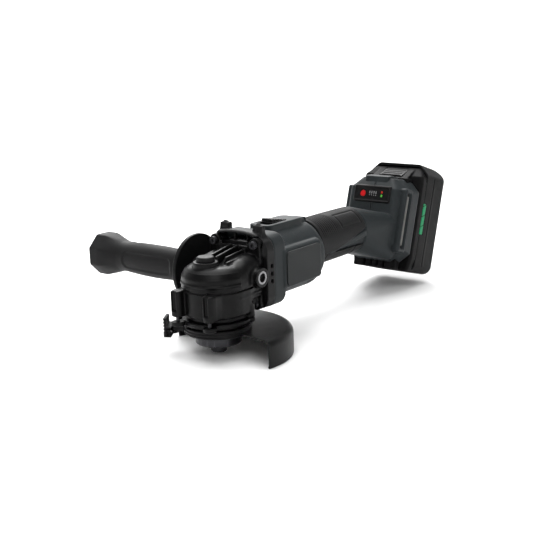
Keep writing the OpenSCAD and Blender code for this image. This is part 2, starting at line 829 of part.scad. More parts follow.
module switch_slider() {
  low = rim_top - 1.7;
  color("dimgray") {
    translate([knob_x, -knob_half, low]) cube([knob_l, 2 * knob_half, 2.2]);
    for (i = [0 : 4]) {
      translate([knob_x + 1 + i * 4, -knob_half + 1, low + 2])
        cube([3.2, 2 * knob_half - 2, knob_h - 2.2 - i * 0.7]);
    }
  }
}

module link_bar(x0, x1, z0, z1) {
  translate([x0, -link_half, z0]) cube([x1 - x0, 2 * link_half, z1 - z0]);
}

module switch_link() {
  color("gainsboro") {
    link_bar(knob_x + 6, knob_x + 14, link_high, rim_top - 1.7);
    link_bar(knob_x + 6, link_step, link_high, link_high + link_t);
    link_bar(link_step - 3, link_step, link_low, link_high + link_t);
    link_bar(link_step - 3, link_end, link_low, link_low + link_t);
  }
}

module switch_block() {
  color("black") translate([link_end + part_gap, -8, link_low - 9]) cube([22, 16, 13]);
}

// ---------------------------------------------------------------- shells

// Upright column from height low to high, grown on every side, that rounds a corner of the rear housing
module rear_column(n, y, low, high, r, grow) {
  translate([n, y, low - grow]) cylinder(r = r + grow, h = high - low + 2 * grow, $fn = soft_fn);
}

// Outer form of the rear housing in the frame of the battery, grown on every side
module rear_box(grow) {
  hull() for (sy = [-1, 1]) {
    rear_column(6 - rear_deep, sy * (rear_half - 13), -26, 31, 6, grow);
    rear_column(-18, sy * (rear_half - 6), -30, 31, 6, grow);
    rear_column(-4, sy * (rear_half - 4), -34, 33, 4, grow);
    rear_column(-6, sy * (rear_half - 18), rear_low, rear_top, 6, grow);
    rear_column(13 - rear_deep, sy * (rear_half - 22), rear_low + 6, rear_top - 2, 6, grow);
  }
}

// Hollow space inside the rear housing, which ends at the floor of the battery channel
module rear_hollow() {
  difference() {
    rear_box(-wall);
    translate([-channel_deep - wall, -rear_w, -2 * rear_deep]) cube([rear_deep, 2 * rear_w, 4 * rear_deep]);
  }
}

// Flare between the grip and the rear housing
module flare(grow) {
  hull() {
    translate([grip_end - 4, 0, grip_z]) rotate([0, 90, 0])
      cylinder(r = grip_r - 0.3 + grow, h = 2, $fn = soft_fn);
    rear_frame() for (sy = [-1, 1]) {
      translate([10 - rear_deep, sy * (rear_half - 15), -4]) sphere(r = 9 + grow, $fn = 24);
      translate([12 - rear_deep, sy * (rear_half - 15), rear_low + 10]) sphere(r = 8 + grow, $fn = 24);
    }
  }
}

// Slanted strip that shows through the rubber on both sides of the grip
module strip_box(gap) {
  translate([motor_end + 48, 0, grip_z - 5]) rotate([0, -7, 0])
    cube([64 + 2 * gap, 2 * grip_r + 4, 6 + 2 * gap], center = true);
}

// Everything that stands beside the median plane on the chosen side
module other_side(side) {
  y = side > 0 ? -rear_w : -seat_gap;
  translate([0, y, -100]) cube([2 * rear_x, rear_w, 400]);
}

module half_shell(side) {
  color("slategray") difference() {
    union() {
      translate([motor_end + 0.1, 0, grip_z]) rotate([0, 90, 0]) cylinder(r = shell_r, h = grip_l - 3);
      flare(0);
      rear_frame() rear_box(0);
      intersection() {
        translate([motor_end + 2, 0, grip_z]) rotate([0, 90, 0]) cylinder(r = grip_r - 0.1, h = grip_l - 6);
        strip_box(0);
      }
    }
    translate([motor_end - over, 0, grip_z]) rotate([0, 90, 0]) cylinder(r = shell_in, h = grip_l + over);
    difference() {
      flare(-wall);
      rear_frame() translate([-channel_deep - wall, -rear_w, -100]) cube([100, 2 * rear_w, 200]);
    }
    rear_frame() {
      rear_hollow();
      battery_channel();
      panel_space(0);
      slot_space(0);
      block_space(0);
    }
    other_side(side);
    for (x = shell_screw_x, z = [-1, 1]) {
      translate([x, -shell_r - over, grip_z + z * (shell_in - 2)]) rotate([-90, 0, 0])
        cylinder(r = shell_screw_r + seat_gap, h = 2 * shell_r + 2 * over);
    }
  }
}

// Channel that takes the rail block of the battery, with the latch groove in its floor
module battery_channel() {
  translate([-channel_deep, -rail_half - part_gap, -2 * rear_deep])
    cube([channel_deep - rail_t, 2 * (rail_half + part_gap), 4 * rear_deep]);
  translate([-channel_deep, -neck_half - part_gap, -2 * rear_deep])
    cube([channel_deep + over, 2 * (neck_half + part_gap), 4 * rear_deep]);
  translate([-part_gap, -rear_w, -2 * rear_deep]) cube([10, 2 * rear_w, 4 * rear_deep]);
  translate([-channel_deep - wall - over, -tongue_half - part_gap, tongue_low - part_gap])
    cube([channel_deep, 2 * (tongue_half + part_gap), 40]);
}

// Rectangular hole of the control panel
module panel_space(gap) {
  translate([-rear_deep - over, gap - panel_half, panel_low + gap])
    cube([panel_deep + over - gap, 2 * (panel_half - gap), panel_high - panel_low - 2 * gap]);
}

// Two upright slots in the flanks of the rear housing
module slot_space(gap) {
  for (s = [-1, 1]) {
    translate([slot_n, s * (rear_half - 1), (slot_low + slot_high) / 2])
      cube([slot_w - 2 * gap, 2 * slot_deep, slot_high - slot_low - 2 * gap], center = true);
  }
}

// Hole for the terminal block in the floor of the battery channel
module block_space(gap) {
  translate([-channel_deep - wall - over, gap - block_half, block_low + gap])
    cube([wall + 2 * over, 2 * (block_half - gap), block_high - block_low - 2 * gap]);
}

module left_shell() {
  half_shell(1);
}

module right_shell() {
  half_shell(-1);
}

module grip_rubber(side) {
  color([0.16, 0.16, 0.17]) difference() {
    translate([motor_end + 0.5, 0, grip_z]) rotate([0, 90, 0]) ring(grip_r, shell_r + seat_gap, grip_l - 5);
    strip_box(seat_gap);
    other_side(side);
  }
}

module grip_rubber_left() {
  grip_rubber(1);
}

module grip_rubber_right() {
  grip_rubber(-1);
}

module shell_screws() {
  reach = sqrt(shell_r * shell_r - (shell_in - 2 + shell_screw_r) * (shell_in - 2 + shell_screw_r)) - 0.5;
  color("silver") for (x = shell_screw_x, z = [-1, 1]) {
    translate([x, -reach, grip_z + z * (shell_in - 2)]) rotate([-90, 0, 0])
      cylinder(r = shell_screw_r, h = 2 * reach);
  }
}

// ---------------------------------------------------------------- control panel and rear fittings

module control_panel() {
  color("black") rear_frame() difference() {
    intersection() {
      translate([0.4, 0, 0]) panel_space(seat_gap);
      translate([0.4 - rear_deep, -panel_half, 0]) cube([10, 2 * panel_half, 2 * panel_high]);
    }
    translate([-rear_deep - over, -panel_half + 1.5, panel_low + 1.5])
      cube([over + 0.9, 2 * panel_half - 3, panel_high - panel_low - 3]);
    translate([-rear_deep - over, level_y, panel_mid]) rotate([0, 90, 0])
      cylinder(r = level_r + part_gap, h = 20);
    for (u = light_u) {
      translate([-rear_deep - over, -level_y - 2, u - 1.4]) cube([20, 4, 2.8]);
    }
  }
}

module level_button() {
  color("red") rear_frame() translate([-rear_deep + 0.1, level_y, panel_mid]) rotate([0, 90, 0]) {
    cylinder(r = level_r, h = panel_deep + part_gap + 0.2 + over / 2);
    translate([0, 0, panel_deep + part_gap + 0.2]) cylinder(r = level_r + 1.2, h = 1);
  }
}

module level_lights() {
  color("lime") rear_frame() for (u = light_u) {
    translate([-rear_deep + 0.7, -level_y - 2 + seat_gap, u - 1.4 + seat_gap])
      cube([panel_deep, 4 - 2 * seat_gap, 2.8 - 2 * seat_gap]);
  }
}

module slot_frames() {
  color("black") rear_frame() difference() {
    intersection() {
      rear_box(-0.6);
      slot_space(seat_gap);
    }
    insert_space(0);
  }
}

// Windows of the slot frames
module insert_space(gap) {
  for (s = [-1, 1]) {
    translate([slot_n + 0.5, s * (rear_half - 1), (slot_low + slot_high) / 2])
      cube([insert_w - 2 * gap, 2 * slot_deep + over, slot_high - slot_low - 8 - 2 * gap], center = true);
  }
}

module slot_inserts() {
  color("silver") rear_frame() intersection() {
    rear_box(-1.2);
    slot_space(0);
    insert_space(seat_gap);
  }
}

module controller_board() {
  x = link_end + 30;
  color("darkgreen") {
    translate([x, -shell_in + 6, grip_z - 9]) cube([34, 2 * shell_in - 12, 1.8]);
    translate([x + 4, -9, grip_z - 7.3]) cube([14, 18, 8]);
    for (y = [-6, 6]) {
      translate([x + 26, y, grip_z - 7.3]) cylinder(r = 5, h = 10);
    }
  }
}

module terminal_block() {
  color("black") rear_frame() difference() {
    union() {
      translate([-block_back - over, -block_half + seat_gap, block_low + seat_gap])
        cube([wall + over - part_gap, 2 * (block_half - seat_gap), block_high - block_low - 2 * seat_gap]);
      translate([-block_back - 4, -block_half - 1.5, block_low - 1.5])
        cube([4, 2 * block_half + 3, block_high - block_low + 3]);
    }
    for (y = blade_y) {
      translate([-rear_deep, y - 0.4 - seat_gap, blade_low - seat_gap])
        cube([rear_deep, 0.8 + 2 * seat_gap, blade_high - blade_low + 2 * seat_gap]);
    }
  }
}

module terminal_blades() {
  color("gold") rear_frame() for (y = blade_y) {
    translate([-channel_deep - wall - 5, y - 0.4, blade_low])
      cube([wall + 12, 0.8, blade_high - blade_low]);
  }
}

// ---------------------------------------------------------------- battery

// Upright corner of the battery case: depth, half width, lower end, upper end and radius
module pack_corner(n, half, u_low, u_high, r, less) {
  for (sy = [-1, 1]) {
    translate([n, sy * (half - r), u_low + less])
      cylinder(r = r - less, h = u_high - u_low - 2 * less, $fn = soft_fn);
  }
}

// Outer form of the battery case, shrunk on every side
module pack_block(less) {
  crown_half = pack_half - 12.5;
  hull() {
    pack_corner(3, pack_half, pack_low + 15, pack_high - 22, 3, less);
    pack_corner(pack_deep - 5, pack_half, pack_low + 18, pack_high - 22, 5, less);
    pack_corner(3, pack_half - 3.5, pack_low, 0, 3, less);
    pack_corner(pack_deep - 32, pack_half - 3.5, pack_low, 0, 5, less);
    pack_corner(3, pack_half - 1, 0, pack_high - 15, 3, less);
    pack_corner(pack_deep - 9, pack_half - 1, 0, pack_high - 14, 5, less);
    pack_corner(17, crown_half, 0, pack_high, 3, less);
    pack_corner(pack_deep - 19, crown_half, 0, pack_high - 3, 5, less);
  }
}

// Release button as a sloping slab t thick, widened by gap
module latch_slab(t, gap) {
  half = button_half + gap;
  hull() {
    translate([latch_n, -half, rear_top + 4 - gap]) cube([t, 2 * half, 1]);
    translate([12, -half, pack_high - 5 + gap]) cube([t, 2 * half, 1]);
  }
}

// Way of the release button into the battery case
module latch_way() {
  translate([-over, 0, 0]) latch_slab(latch_t + release_travel + part_gap + over, part_gap);
}

module pack_front_case() {
  color([0.13, 0.13, 0.14]) rear_frame() difference() {
    union() {
      difference() {
        union() {
          pack_block(0);
          // nose that reaches over the top of the rear housing
          hull() {
            translate([-9, -23, rear_top + 1]) cube([18, 46, 1]);
            translate([14, -21, pack_high - 2.5]) cube([10, 42, 1]);
          }
        }
        translate([pack_split - seat_gap, -pack_w, -2 * pack_w]) cube([100, 2 * pack_w, 4 * pack_w]);
        pack_block(pack_wall);
      }
      // rail block with its neck
      translate([-channel_deep + 1, -rail_half, pack_low])
        cube([channel_deep - rail_t - 1 - part_gap, 2 * rail_half, rear_top + 2 - pack_low]);
      translate([-rail_t - over, -neck_half, pack_low])
        cube([rail_t + 2 * over, 2 * neck_half, rear_top + 2 - pack_low]);
    }
    // slots for the terminal blades, open at the lower end
    for (y = blade_y) {
      translate([-channel_deep, y - 1.3, pack_low - over])
        cube([channel_deep - 2.5, 2.6, blade_high - pack_low + over + 1.5]);
    }
    // way of the release button and of its tongue
    latch_way();
    translate([-channel_deep, -tongue_half - part_gap, tongue_low - part_gap])
      cube([channel_deep - 0.7, 2 * (tongue_half + part_gap), rear_top + 5 + 2 * part_gap - tongue_low]);
  }
}

module pack_rear_case() {
  color([0.13, 0.13, 0.14]) rear_frame() difference() {
    pack_block(0);
    pack_block(pack_wall);
    translate([pack_split - 100, -pack_w, -2 * pack_w]) cube([100, 2 * pack_w, 4 * pack_w]);
    latch_way();
    stripe_space(0);
  }
}

// Room of the light strips in the flanks of the battery
module stripe_space(gap) {
  for (s = [-1, 1]) {
    translate([pack_split + gap - over, s * pack_half - 1 + gap, stripe_low + gap])
      cube([3 + over - 2 * gap, 2 - 2 * gap, stripe_high - stripe_low - 2 * gap]);
  }
}

module level_stripe() {
  seg = (stripe_high - stripe_low) / 3;
  color("mediumseagreen") rear_frame() intersection() {
    stripe_space(seat_gap);
    for (i = [0 : 2]) {
      translate([pack_split + seat_gap, -pack_half, stripe_low + i * seg + 0.3])
        cube([3, pack_w, seg - 0.6]);
    }
  }
}

module battery_cells() {
  color("steelblue") rear_frame() for (i = [0 : cells_up - 1], j = [0 : cells_deep - 1]) {
    translate([cell_n0 + j * cell_pitch, -cell_l / 2, cell_u0 + i * cell_pitch]) rotate([-90, 0, 0])
      cylinder(r = cell_d / 2, h = cell_l);
  }
}

module pack_board() {
  color("darkgreen") rear_frame() translate([pack_wall + seat_gap, -25, cell_u0]) cube([1.6, 50, 60]);
}

module release_button() {
  color([0.1, 0.1, 0.1]) rear_frame() difference() {
    latch_slab(latch_t, 0);
    for (i = [0 : 4]) {
      translate([latch_n - 1.6 + i * 3.4, -button_half + 2, rear_top + 5 + i * 2.4])
        cube([3.4, 2 * button_half - 4, 1.1]);
    }
  }
}

// Tongue under the release button, whose tooth drops into the latch groove
module latch_tongue() {
  color([0.1, 0.1, 0.1]) rear_frame() difference() {
    union() {
      translate([-channel_deep + 6, -tongue_half, tongue_low])
        cube([3, 2 * tongue_half, rear_top + 5 - tongue_low]);
      translate([-channel_deep - 1.5, -tongue_half, tongue_low]) cube([10.5, 2 * tongue_half, 6]);
    }
    latch_slab(latch_t, 0);
  }
}

// ---------------------------------------------------------------- side handle

module hand_guard() {
  color([0.12, 0.12, 0.13]) on_handle_axis(0) difference() {
    union() {
      translate([0, 0, boss_y + part_gap]) cylinder(r = boss_r + 2, h = disc_y - boss_y);
      translate([0, 0, disc_y]) cylinder(r = hand_guard_d / 2, h = disc_t);
    }
    cylinder(r = stud_d / 2 + seat_gap, h = 2 * disc_y);
  }
}

module handle_stud() {
  color("silver") on_handle_axis(boss_y - insert_l + 2) cylinder(r = stud_d / 2, h = insert_l + 24);
}

module side_handle() {
  grip = handle_end - handle_y;
  color([0.13, 0.13, 0.14]) on_handle_axis(handle_y + seat_gap) difference() {
    rotate_extrude() polygon([
      [0, 0], [handle_r - 3, 0], [handle_r, 5], [handle_r, 12], [handle_r - 1.2, grip * 0.35],
      [handle_r - 0.6, grip * 0.6], [handle_r - 1, grip - 26], [flare_r - 1.5, grip - 15],
      [flare_r, grip - 9], [flare_r - 0.5, grip - 3], [flare_r - 3, grip], [0, grip]
    ]);
    translate([0, 0, -over]) cylinder(r = stud_d / 2 + seat_gap, h = 26);
  }
}

// ---------------------------------------------------------------- guard

module guard_shell() {
  bend = guard_r - guard_bend;
  color("dimgray") rotate([0, 0, guard_start]) rotate_extrude(angle = guard_arc) {
    translate([band_r + seat_gap, guard_z - guard_t]) square([bend - band_r - seat_gap, guard_t]);
    translate([bend, guard_z - guard_bend]) intersection() {
      difference() {
        circle(r = guard_bend);
        circle(r = guard_bend - guard_t);
      }
      square([guard_bend, guard_bend]);
    }
    translate([guard_r - guard_t, guard_low]) square([guard_t, guard_z - guard_bend - guard_low]);
    translate([guard_r - lip_r, guard_low]) circle(r = lip_r);
  }
}

module guard_band() {
  low = collar_z + 0.4;
  color("dimgray") difference() {
    union() {
      translate([0, 0, low]) cylinder(r = band_r, h = band_h);
      rotate([0, 0, lug_angle]) {
        translate([collar_r + 0.5, 0.4 - lug_r, low])
          cube([lug_x - collar_r - 0.5, 2 * lug_r - 0.8, lug_h]);
        translate([lug_x, 0, low]) cylinder(r = lug_r, h = lug_h);
        translate([collar_r + 0.5, -9.5, low]) cube([7.5, 4, lug_h]);
      }
    }
    translate([0, 0, low - over]) cylinder(r = collar_r + run_gap, h = band_h + 2 * over);
    rotate([0, 0, lug_angle]) {
      translate([collar_r - over, -lug_r - 1.6, low - over]) cube([10, 1.2, band_h + 2 * over]);
      translate([lug_x, 0, low - over]) cylinder(r = lug_pin_r + seat_gap, h = lug_h + 2 * over);
    }
  }
}

module clamp_pin() {
  color("silver") rotate([0, 0, lug_angle]) translate([lug_x, 0, lever_low])
    cylinder(r = lug_pin_r, h = lever_high - lever_low);
}

module clamp_lever() {
  plate = 1.2;
  inside = lug_x + lug_r + 0.5;
  color("dimgray") rotate([0, 0, lug_angle]) difference() {
    union() {
      for (z = [lever_low, lever_high - plate]) {
        translate([lug_x, 0, z]) cylinder(r = lug_r + 0.5, h = plate);
        translate([lug_x, -lug_r, z]) cube([inside - lug_x + over, lever_l + lug_r, plate]);
      }
      translate([inside, -lug_r, lever_low]) cube([lever_t, lever_l + lug_r, lever_high - lever_low]);
      translate([inside, 0, lever_low]) cube([lever_t, lever_l, lever_rise]);
    }
    translate([lug_x, 0, lever_low - over]) cylinder(r = lug_pin_r + run_gap, h = lever_rise + 2 * over);
    for (z = [0 : 3]) {
      translate([inside + lever_t - 0.6, -lug_r - over, lever_high - 4 + z * 3])
        cube([over, 2 * lever_l, 1.4]);
    }
  }
}

gear_case();
gear_case_screws();
bearing_cover();
bearing_cover_screws();
dust_seal();
spindle_bearing();
spindle_bush();
handle_inserts();
pinion_bearing();
spindle();
crown_gear();
inner_flange();
flange_nut();
pinion();
rotor_shaft();
rotor();
cooling_fan();
rear_bearing();
stator();
windings();
sensor_board();
lock_button();
lock_pin();
lock_spring();
air_deflector();
motor_housing();
side_plates();
switch_slider();
switch_link();
switch_block();
left_shell();
right_shell();
grip_rubber_left();
grip_rubber_right();
shell_screws();
control_panel();
level_button();
level_lights();
slot_frames();
slot_inserts();
controller_board();
terminal_block();
terminal_blades();
pack_front_case();
pack_rear_case();
battery_cells();
pack_board();
release_button();
latch_tongue();
level_stripe();
side_handle();
handle_stud();
hand_guard();
guard_shell();
guard_band();
clamp_lever();
clamp_pin();
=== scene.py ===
import math

import bmesh
import bpy
import numpy as np
from mathutils import Matrix, Vector


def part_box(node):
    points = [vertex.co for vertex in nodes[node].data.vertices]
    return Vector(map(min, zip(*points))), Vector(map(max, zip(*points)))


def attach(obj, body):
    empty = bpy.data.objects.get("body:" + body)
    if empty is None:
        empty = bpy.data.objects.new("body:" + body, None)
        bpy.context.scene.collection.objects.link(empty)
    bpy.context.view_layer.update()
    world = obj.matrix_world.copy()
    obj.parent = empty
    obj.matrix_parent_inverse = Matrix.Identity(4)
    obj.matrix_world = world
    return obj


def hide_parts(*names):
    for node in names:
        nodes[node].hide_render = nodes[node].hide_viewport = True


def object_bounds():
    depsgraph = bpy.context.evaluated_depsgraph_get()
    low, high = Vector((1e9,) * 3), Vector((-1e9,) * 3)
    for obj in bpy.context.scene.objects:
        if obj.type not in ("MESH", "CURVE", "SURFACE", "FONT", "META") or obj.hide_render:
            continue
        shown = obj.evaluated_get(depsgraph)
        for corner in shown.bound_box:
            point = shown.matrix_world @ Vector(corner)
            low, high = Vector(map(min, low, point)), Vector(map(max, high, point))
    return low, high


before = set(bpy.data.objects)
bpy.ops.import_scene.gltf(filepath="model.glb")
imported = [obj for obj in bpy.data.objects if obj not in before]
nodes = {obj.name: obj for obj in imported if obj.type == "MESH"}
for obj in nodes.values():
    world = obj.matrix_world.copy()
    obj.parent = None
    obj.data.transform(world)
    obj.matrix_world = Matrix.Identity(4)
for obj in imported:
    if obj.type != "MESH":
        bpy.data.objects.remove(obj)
cad_box = [list(map(float, corner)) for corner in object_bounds()]
MM = 0.001

# ---------------------------------------------------------------- die-cast gear head
# The gear case and its bearing cover are die-cast light alloy under satin black paint.
# The case is bolted to the motor housing, and the cover closes it from below with four screws.


def shader_group(name, inputs, outputs):
    """An empty node group with named float or colour sockets, and its input and output nodes."""
    group = bpy.data.node_groups.new(name, "ShaderNodeTree")
    for label, kind, value in inputs:
        socket = group.interface.new_socket(label, in_out="INPUT", socket_type=kind)
        socket.default_value = value
    for label, kind in outputs:
        group.interface.new_socket(label, in_out="OUTPUT", socket_type=kind)
    return group, group.nodes.new("NodeGroupInput"), group.nodes.new("NodeGroupOutput")


def arithmetic(tree, operation, a, b):
    """A Math node; a and b are sockets or plain numbers."""
    node = tree.nodes.new("ShaderNodeMath")
    node.operation = operation
    for socket, value in zip(node.inputs, (a, b)):
        if isinstance(value, (int, float)):
            socket.default_value = value
        else:
            tree.links.new(value, socket)
    return node.outputs[0]


def noise(tree, where, scale, detail):
    """Noise at the coordinates where, with the socket scale in cells per metre."""
    node = tree.nodes.new("ShaderNodeTexNoise")
    node.inputs["Detail"].default_value = detail
    tree.links.new(scale, node.inputs["Scale"])
    tree.links.new(where, node.inputs["Vector"])
    return node.outputs["Fac"]


def about_zero(tree, value, spread):
    """A noise value centred on zero: (value - 0.5) times spread."""
    return arithmetic(tree, "MULTIPLY", arithmetic(tree, "SUBTRACT", value, 0.5), spread)


# Pointiness at which an edge begins, and how fast the wear comes in past it.
EDGE_START, EDGE_GAIN = 0.53, 9.0
# How far the slow noise, the fine noise and the worn edges move the shade, and then the roughness.
SLOW_SHADE, FINE_SHADE, WORN_SHADE = 0.55, 0.35, 2.2
SLOW_ROUGHNESS, WORN_ROUGHNESS = 0.22, 0.25


def build_surface_grain():
    """Grain group: height = fine noise, colour = base (1 + noises + wear), roughness = base + noise - wear."""
    group, entry, leave = shader_group(
        "surface grain",
        [("Color", "NodeSocketColor", (0.05, 0.05, 0.05, 1)), ("Roughness", "NodeSocketFloat", 0.5),
         ("Grain", "NodeSocketFloat", 1500.0), ("Blotch", "NodeSocketFloat", 45.0),
         ("Wear", "NodeSocketFloat", 0.4)],
        [("Color", "NodeSocketColor"), ("Roughness", "NodeSocketFloat"), ("Height", "NodeSocketFloat")])
    where = group.nodes.new("ShaderNodeTexCoord").outputs["Object"]
    fine = noise(group, where, entry.outputs["Grain"], 2.0)
    slow = noise(group, where, entry.outputs["Blotch"], 5.0)
    geometry = group.nodes.new("ShaderNodeNewGeometry")
    past = arithmetic(group, "SUBTRACT", geometry.outputs["Pointiness"], EDGE_START)
    edge = arithmetic(group, "MULTIPLY", past, EDGE_GAIN)
    edge = arithmetic(group, "MINIMUM", arithmetic(group, "MAXIMUM", edge, 0.0), 1.0)
    worn = arithmetic(group, "MULTIPLY", edge, arithmetic(group, "MULTIPLY", slow, entry.outputs["Wear"]))
    shade = arithmetic(group, "ADD", about_zero(group, slow, SLOW_SHADE), about_zero(group, fine, FINE_SHADE))
    value = arithmetic(group, "ADD", shade, 1.0)
    value = arithmetic(group, "ADD", value, arithmetic(group, "MULTIPLY", worn, WORN_SHADE))
    tone = group.nodes.new("ShaderNodeHueSaturation")
    group.links.new(entry.outputs["Color"], tone.inputs["Color"])
    group.links.new(value, tone.inputs["Value"])
    rough = arithmetic(group, "ADD", entry.outputs["Roughness"], about_zero(group, slow, SLOW_ROUGHNESS))
    rough = arithmetic(group, "SUBTRACT", rough, arithmetic(group, "MULTIPLY", worn, WORN_ROUGHNESS))
    group.links.new(tone.outputs[0], leave.inputs["Color"])
    group.links.new(rough, leave.inputs["Roughness"])
    group.links.new(fine, leave.inputs["Height"])
    return group


SURFACE_GRAIN = build_surface_grain()


def finish(name, color, rough, grain=1500.0, depth=0.12, blotch=45.0, wear=0.4, metal=0.0, specular=0.12):
    """A material: the grain group feeds colour, roughness and bump; the plain numbers sit on the shader."""
    material = bpy.data.materials.new(name)
    material.use_nodes = True
    tree = material.node_tree
    shader = tree.nodes["Principled BSDF"]
    group = tree.nodes.new("ShaderNodeGroup")
    group.node_tree = SURFACE_GRAIN
    group.inputs["Color"].default_value = (*color, 1)
    group.inputs["Roughness"].default_value = rough
    group.inputs["Grain"].default_value = grain
    group.inputs["Blotch"].default_value = blotch
    group.inputs["Wear"].default_value = wear
    bump = tree.nodes.new("ShaderNodeBump")
    bump.inputs["Strength"].default_value = depth
    bump.inputs["Distance"].default_value = 0.0004
    tree.links.new(group.outputs["Color"], shader.inputs["Base Color"])
    tree.links.new(group.outputs["Roughness"], shader.inputs["Roughness"])
    tree.links.new(group.outputs["Height"], bump.inputs["Height"])
    tree.links.new(bump.outputs[0], shader.inputs["Normal"])
    shader.inputs["Metallic"].default_value = metal
    shader.inputs["Specular IOR Level"].default_value = specular
    return material


def add_piece(name, mesh, material, body, slot, *replaced):
    """Links a finished mesh at the origin, gives it its material, and ties it to its body and CAD nodes."""
    piece = bpy.data.objects.new(name, mesh)
    bpy.context.collection.objects.link(piece)
    mesh.materials.clear()
    mesh.materials.append(material)
    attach(piece, body)
    if replaced:
        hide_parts(*replaced)
    return piece


SHARP_EDGE = math.radians(32)
FLAT_FACE = math.radians(1.5)


def soften(piece, width, segments):
    """Rounds every edge that turns more than SHARP_EDGE with a live bevel of that width in mm."""
    bevel = piece.modifiers.new("edge radius", "BEVEL")
    bevel.width = width * MM
    bevel.segments = segments
    bevel.limit_method = "ANGLE"
    bevel.angle_limit = SHARP_EDGE
    bevel.harden_normals = False
    bevel.use_clamp_overlap = True
    piece.data.shade_smooth()
    smooth = piece.modifiers.new("face shading", "WEIGHTED_NORMAL")
    smooth.keep_sharp = True
    return piece


def merged_copy(node, name):
    """A copy of a CAD node's mesh whose loose triangles are joined and whose flat faces are made whole."""
    mesh = nodes[node].data.copy()
    mesh.name = name
    work = bmesh.new()
    work.from_mesh(mesh)
    bmesh.ops.remove_doubles(work, verts=work.verts, dist=2e-6)
    bmesh.ops.dissolve_limit(work, angle_limit=FLAT_FACE, verts=work.verts, edges=work.edges)
    work.to_mesh(mesh)
    work.free()
    return mesh


def dress(node, material, body, slot, width=0.5, segments=2):
    """The CAD node's own shape with rounded edges and a finish of its own."""
    piece = add_piece(node + "_part", merged_copy(node, node + "_part"), material, body, slot, node)
    if width:
        soften(piece, width, segments)
    return piece


cast_black = finish("satin black paint", (0.0022, 0.0022, 0.0023), 0.36, grain=900, depth=0.22, wear=1.1)


def middle(node, axis):
    """Middle of a CAD node's box along an axis, in mm, to a hundredth."""
    low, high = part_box(node)
    return round((low[axis] + high[axis]) / 2 / MM, 2)


# Places in mm: the motor's axis, the lock button, the handle inserts, the head's front and rear screws,
# and the spread and lift of the four housing screws about the motor's axis.
AXIS_Z = middle("rotor_shaft", 2)
BUTTON_X = middle("lock_button", 0)
INSERT_X = middle("handle_inserts", 0)
FRONT_X, FRONT_Y = -31.5, 18.5
REAR_X, REAR_Y = 13, 26
EAR_Y, EAR_LIFT = 23, 27


def rounded_box(p, low, high, r):
    """Distance in mm to a box with edges of radius r: |max(q, 0)| + min(max q, 0) - r, where q is the distance
    |p - centre| less half the box's size, plus r."""
    q = [np.abs(v - (a + b) / 2) - (b - a) / 2 + r for v, a, b in zip(p, low, high)]
    outer = np.sqrt(sum(np.maximum(v, 0) ** 2 for v in q))
    return outer + np.minimum(np.maximum(np.maximum(q[0], q[1]), q[2]), 0) - r


def upright(p, x, y, low, high, r, soft=0.8):
    """Signed distance in mm to a cylinder along z whose end edges are rounded by soft."""
    d = np.hypot(p[0] - x, p[1] - y) - r + soft
    h = np.abs(p[2] - (low + high) / 2) - (high - low) / 2 + soft
    return np.minimum(np.maximum(d, h), 0) + np.hypot(np.maximum(d, 0), np.maximum(h, 0)) - soft


def joined(a, b, k):
    """Union of two distances with a fillet of about k: min(a, b) - max(k - |a - b|, 0)^2 / 4k."""
    return np.minimum(a, b) - np.maximum(k - np.abs(a - b), 0) ** 2 / (4 * k)


def carved(a, b, k):
    """Distance a with b cut out of it, its rim rounded by about k."""
    return -joined(-a, b, k)


NET_CORNERS = [(i, j, k) for i in (0, 1) for j in (0, 1) for k in (0, 1)]
NET_EDGES = [(a, b) for a in NET_CORNERS for b in NET_CORNERS
             if a < b and sum(abs(u - v) for u, v in zip(a, b)) == 1]


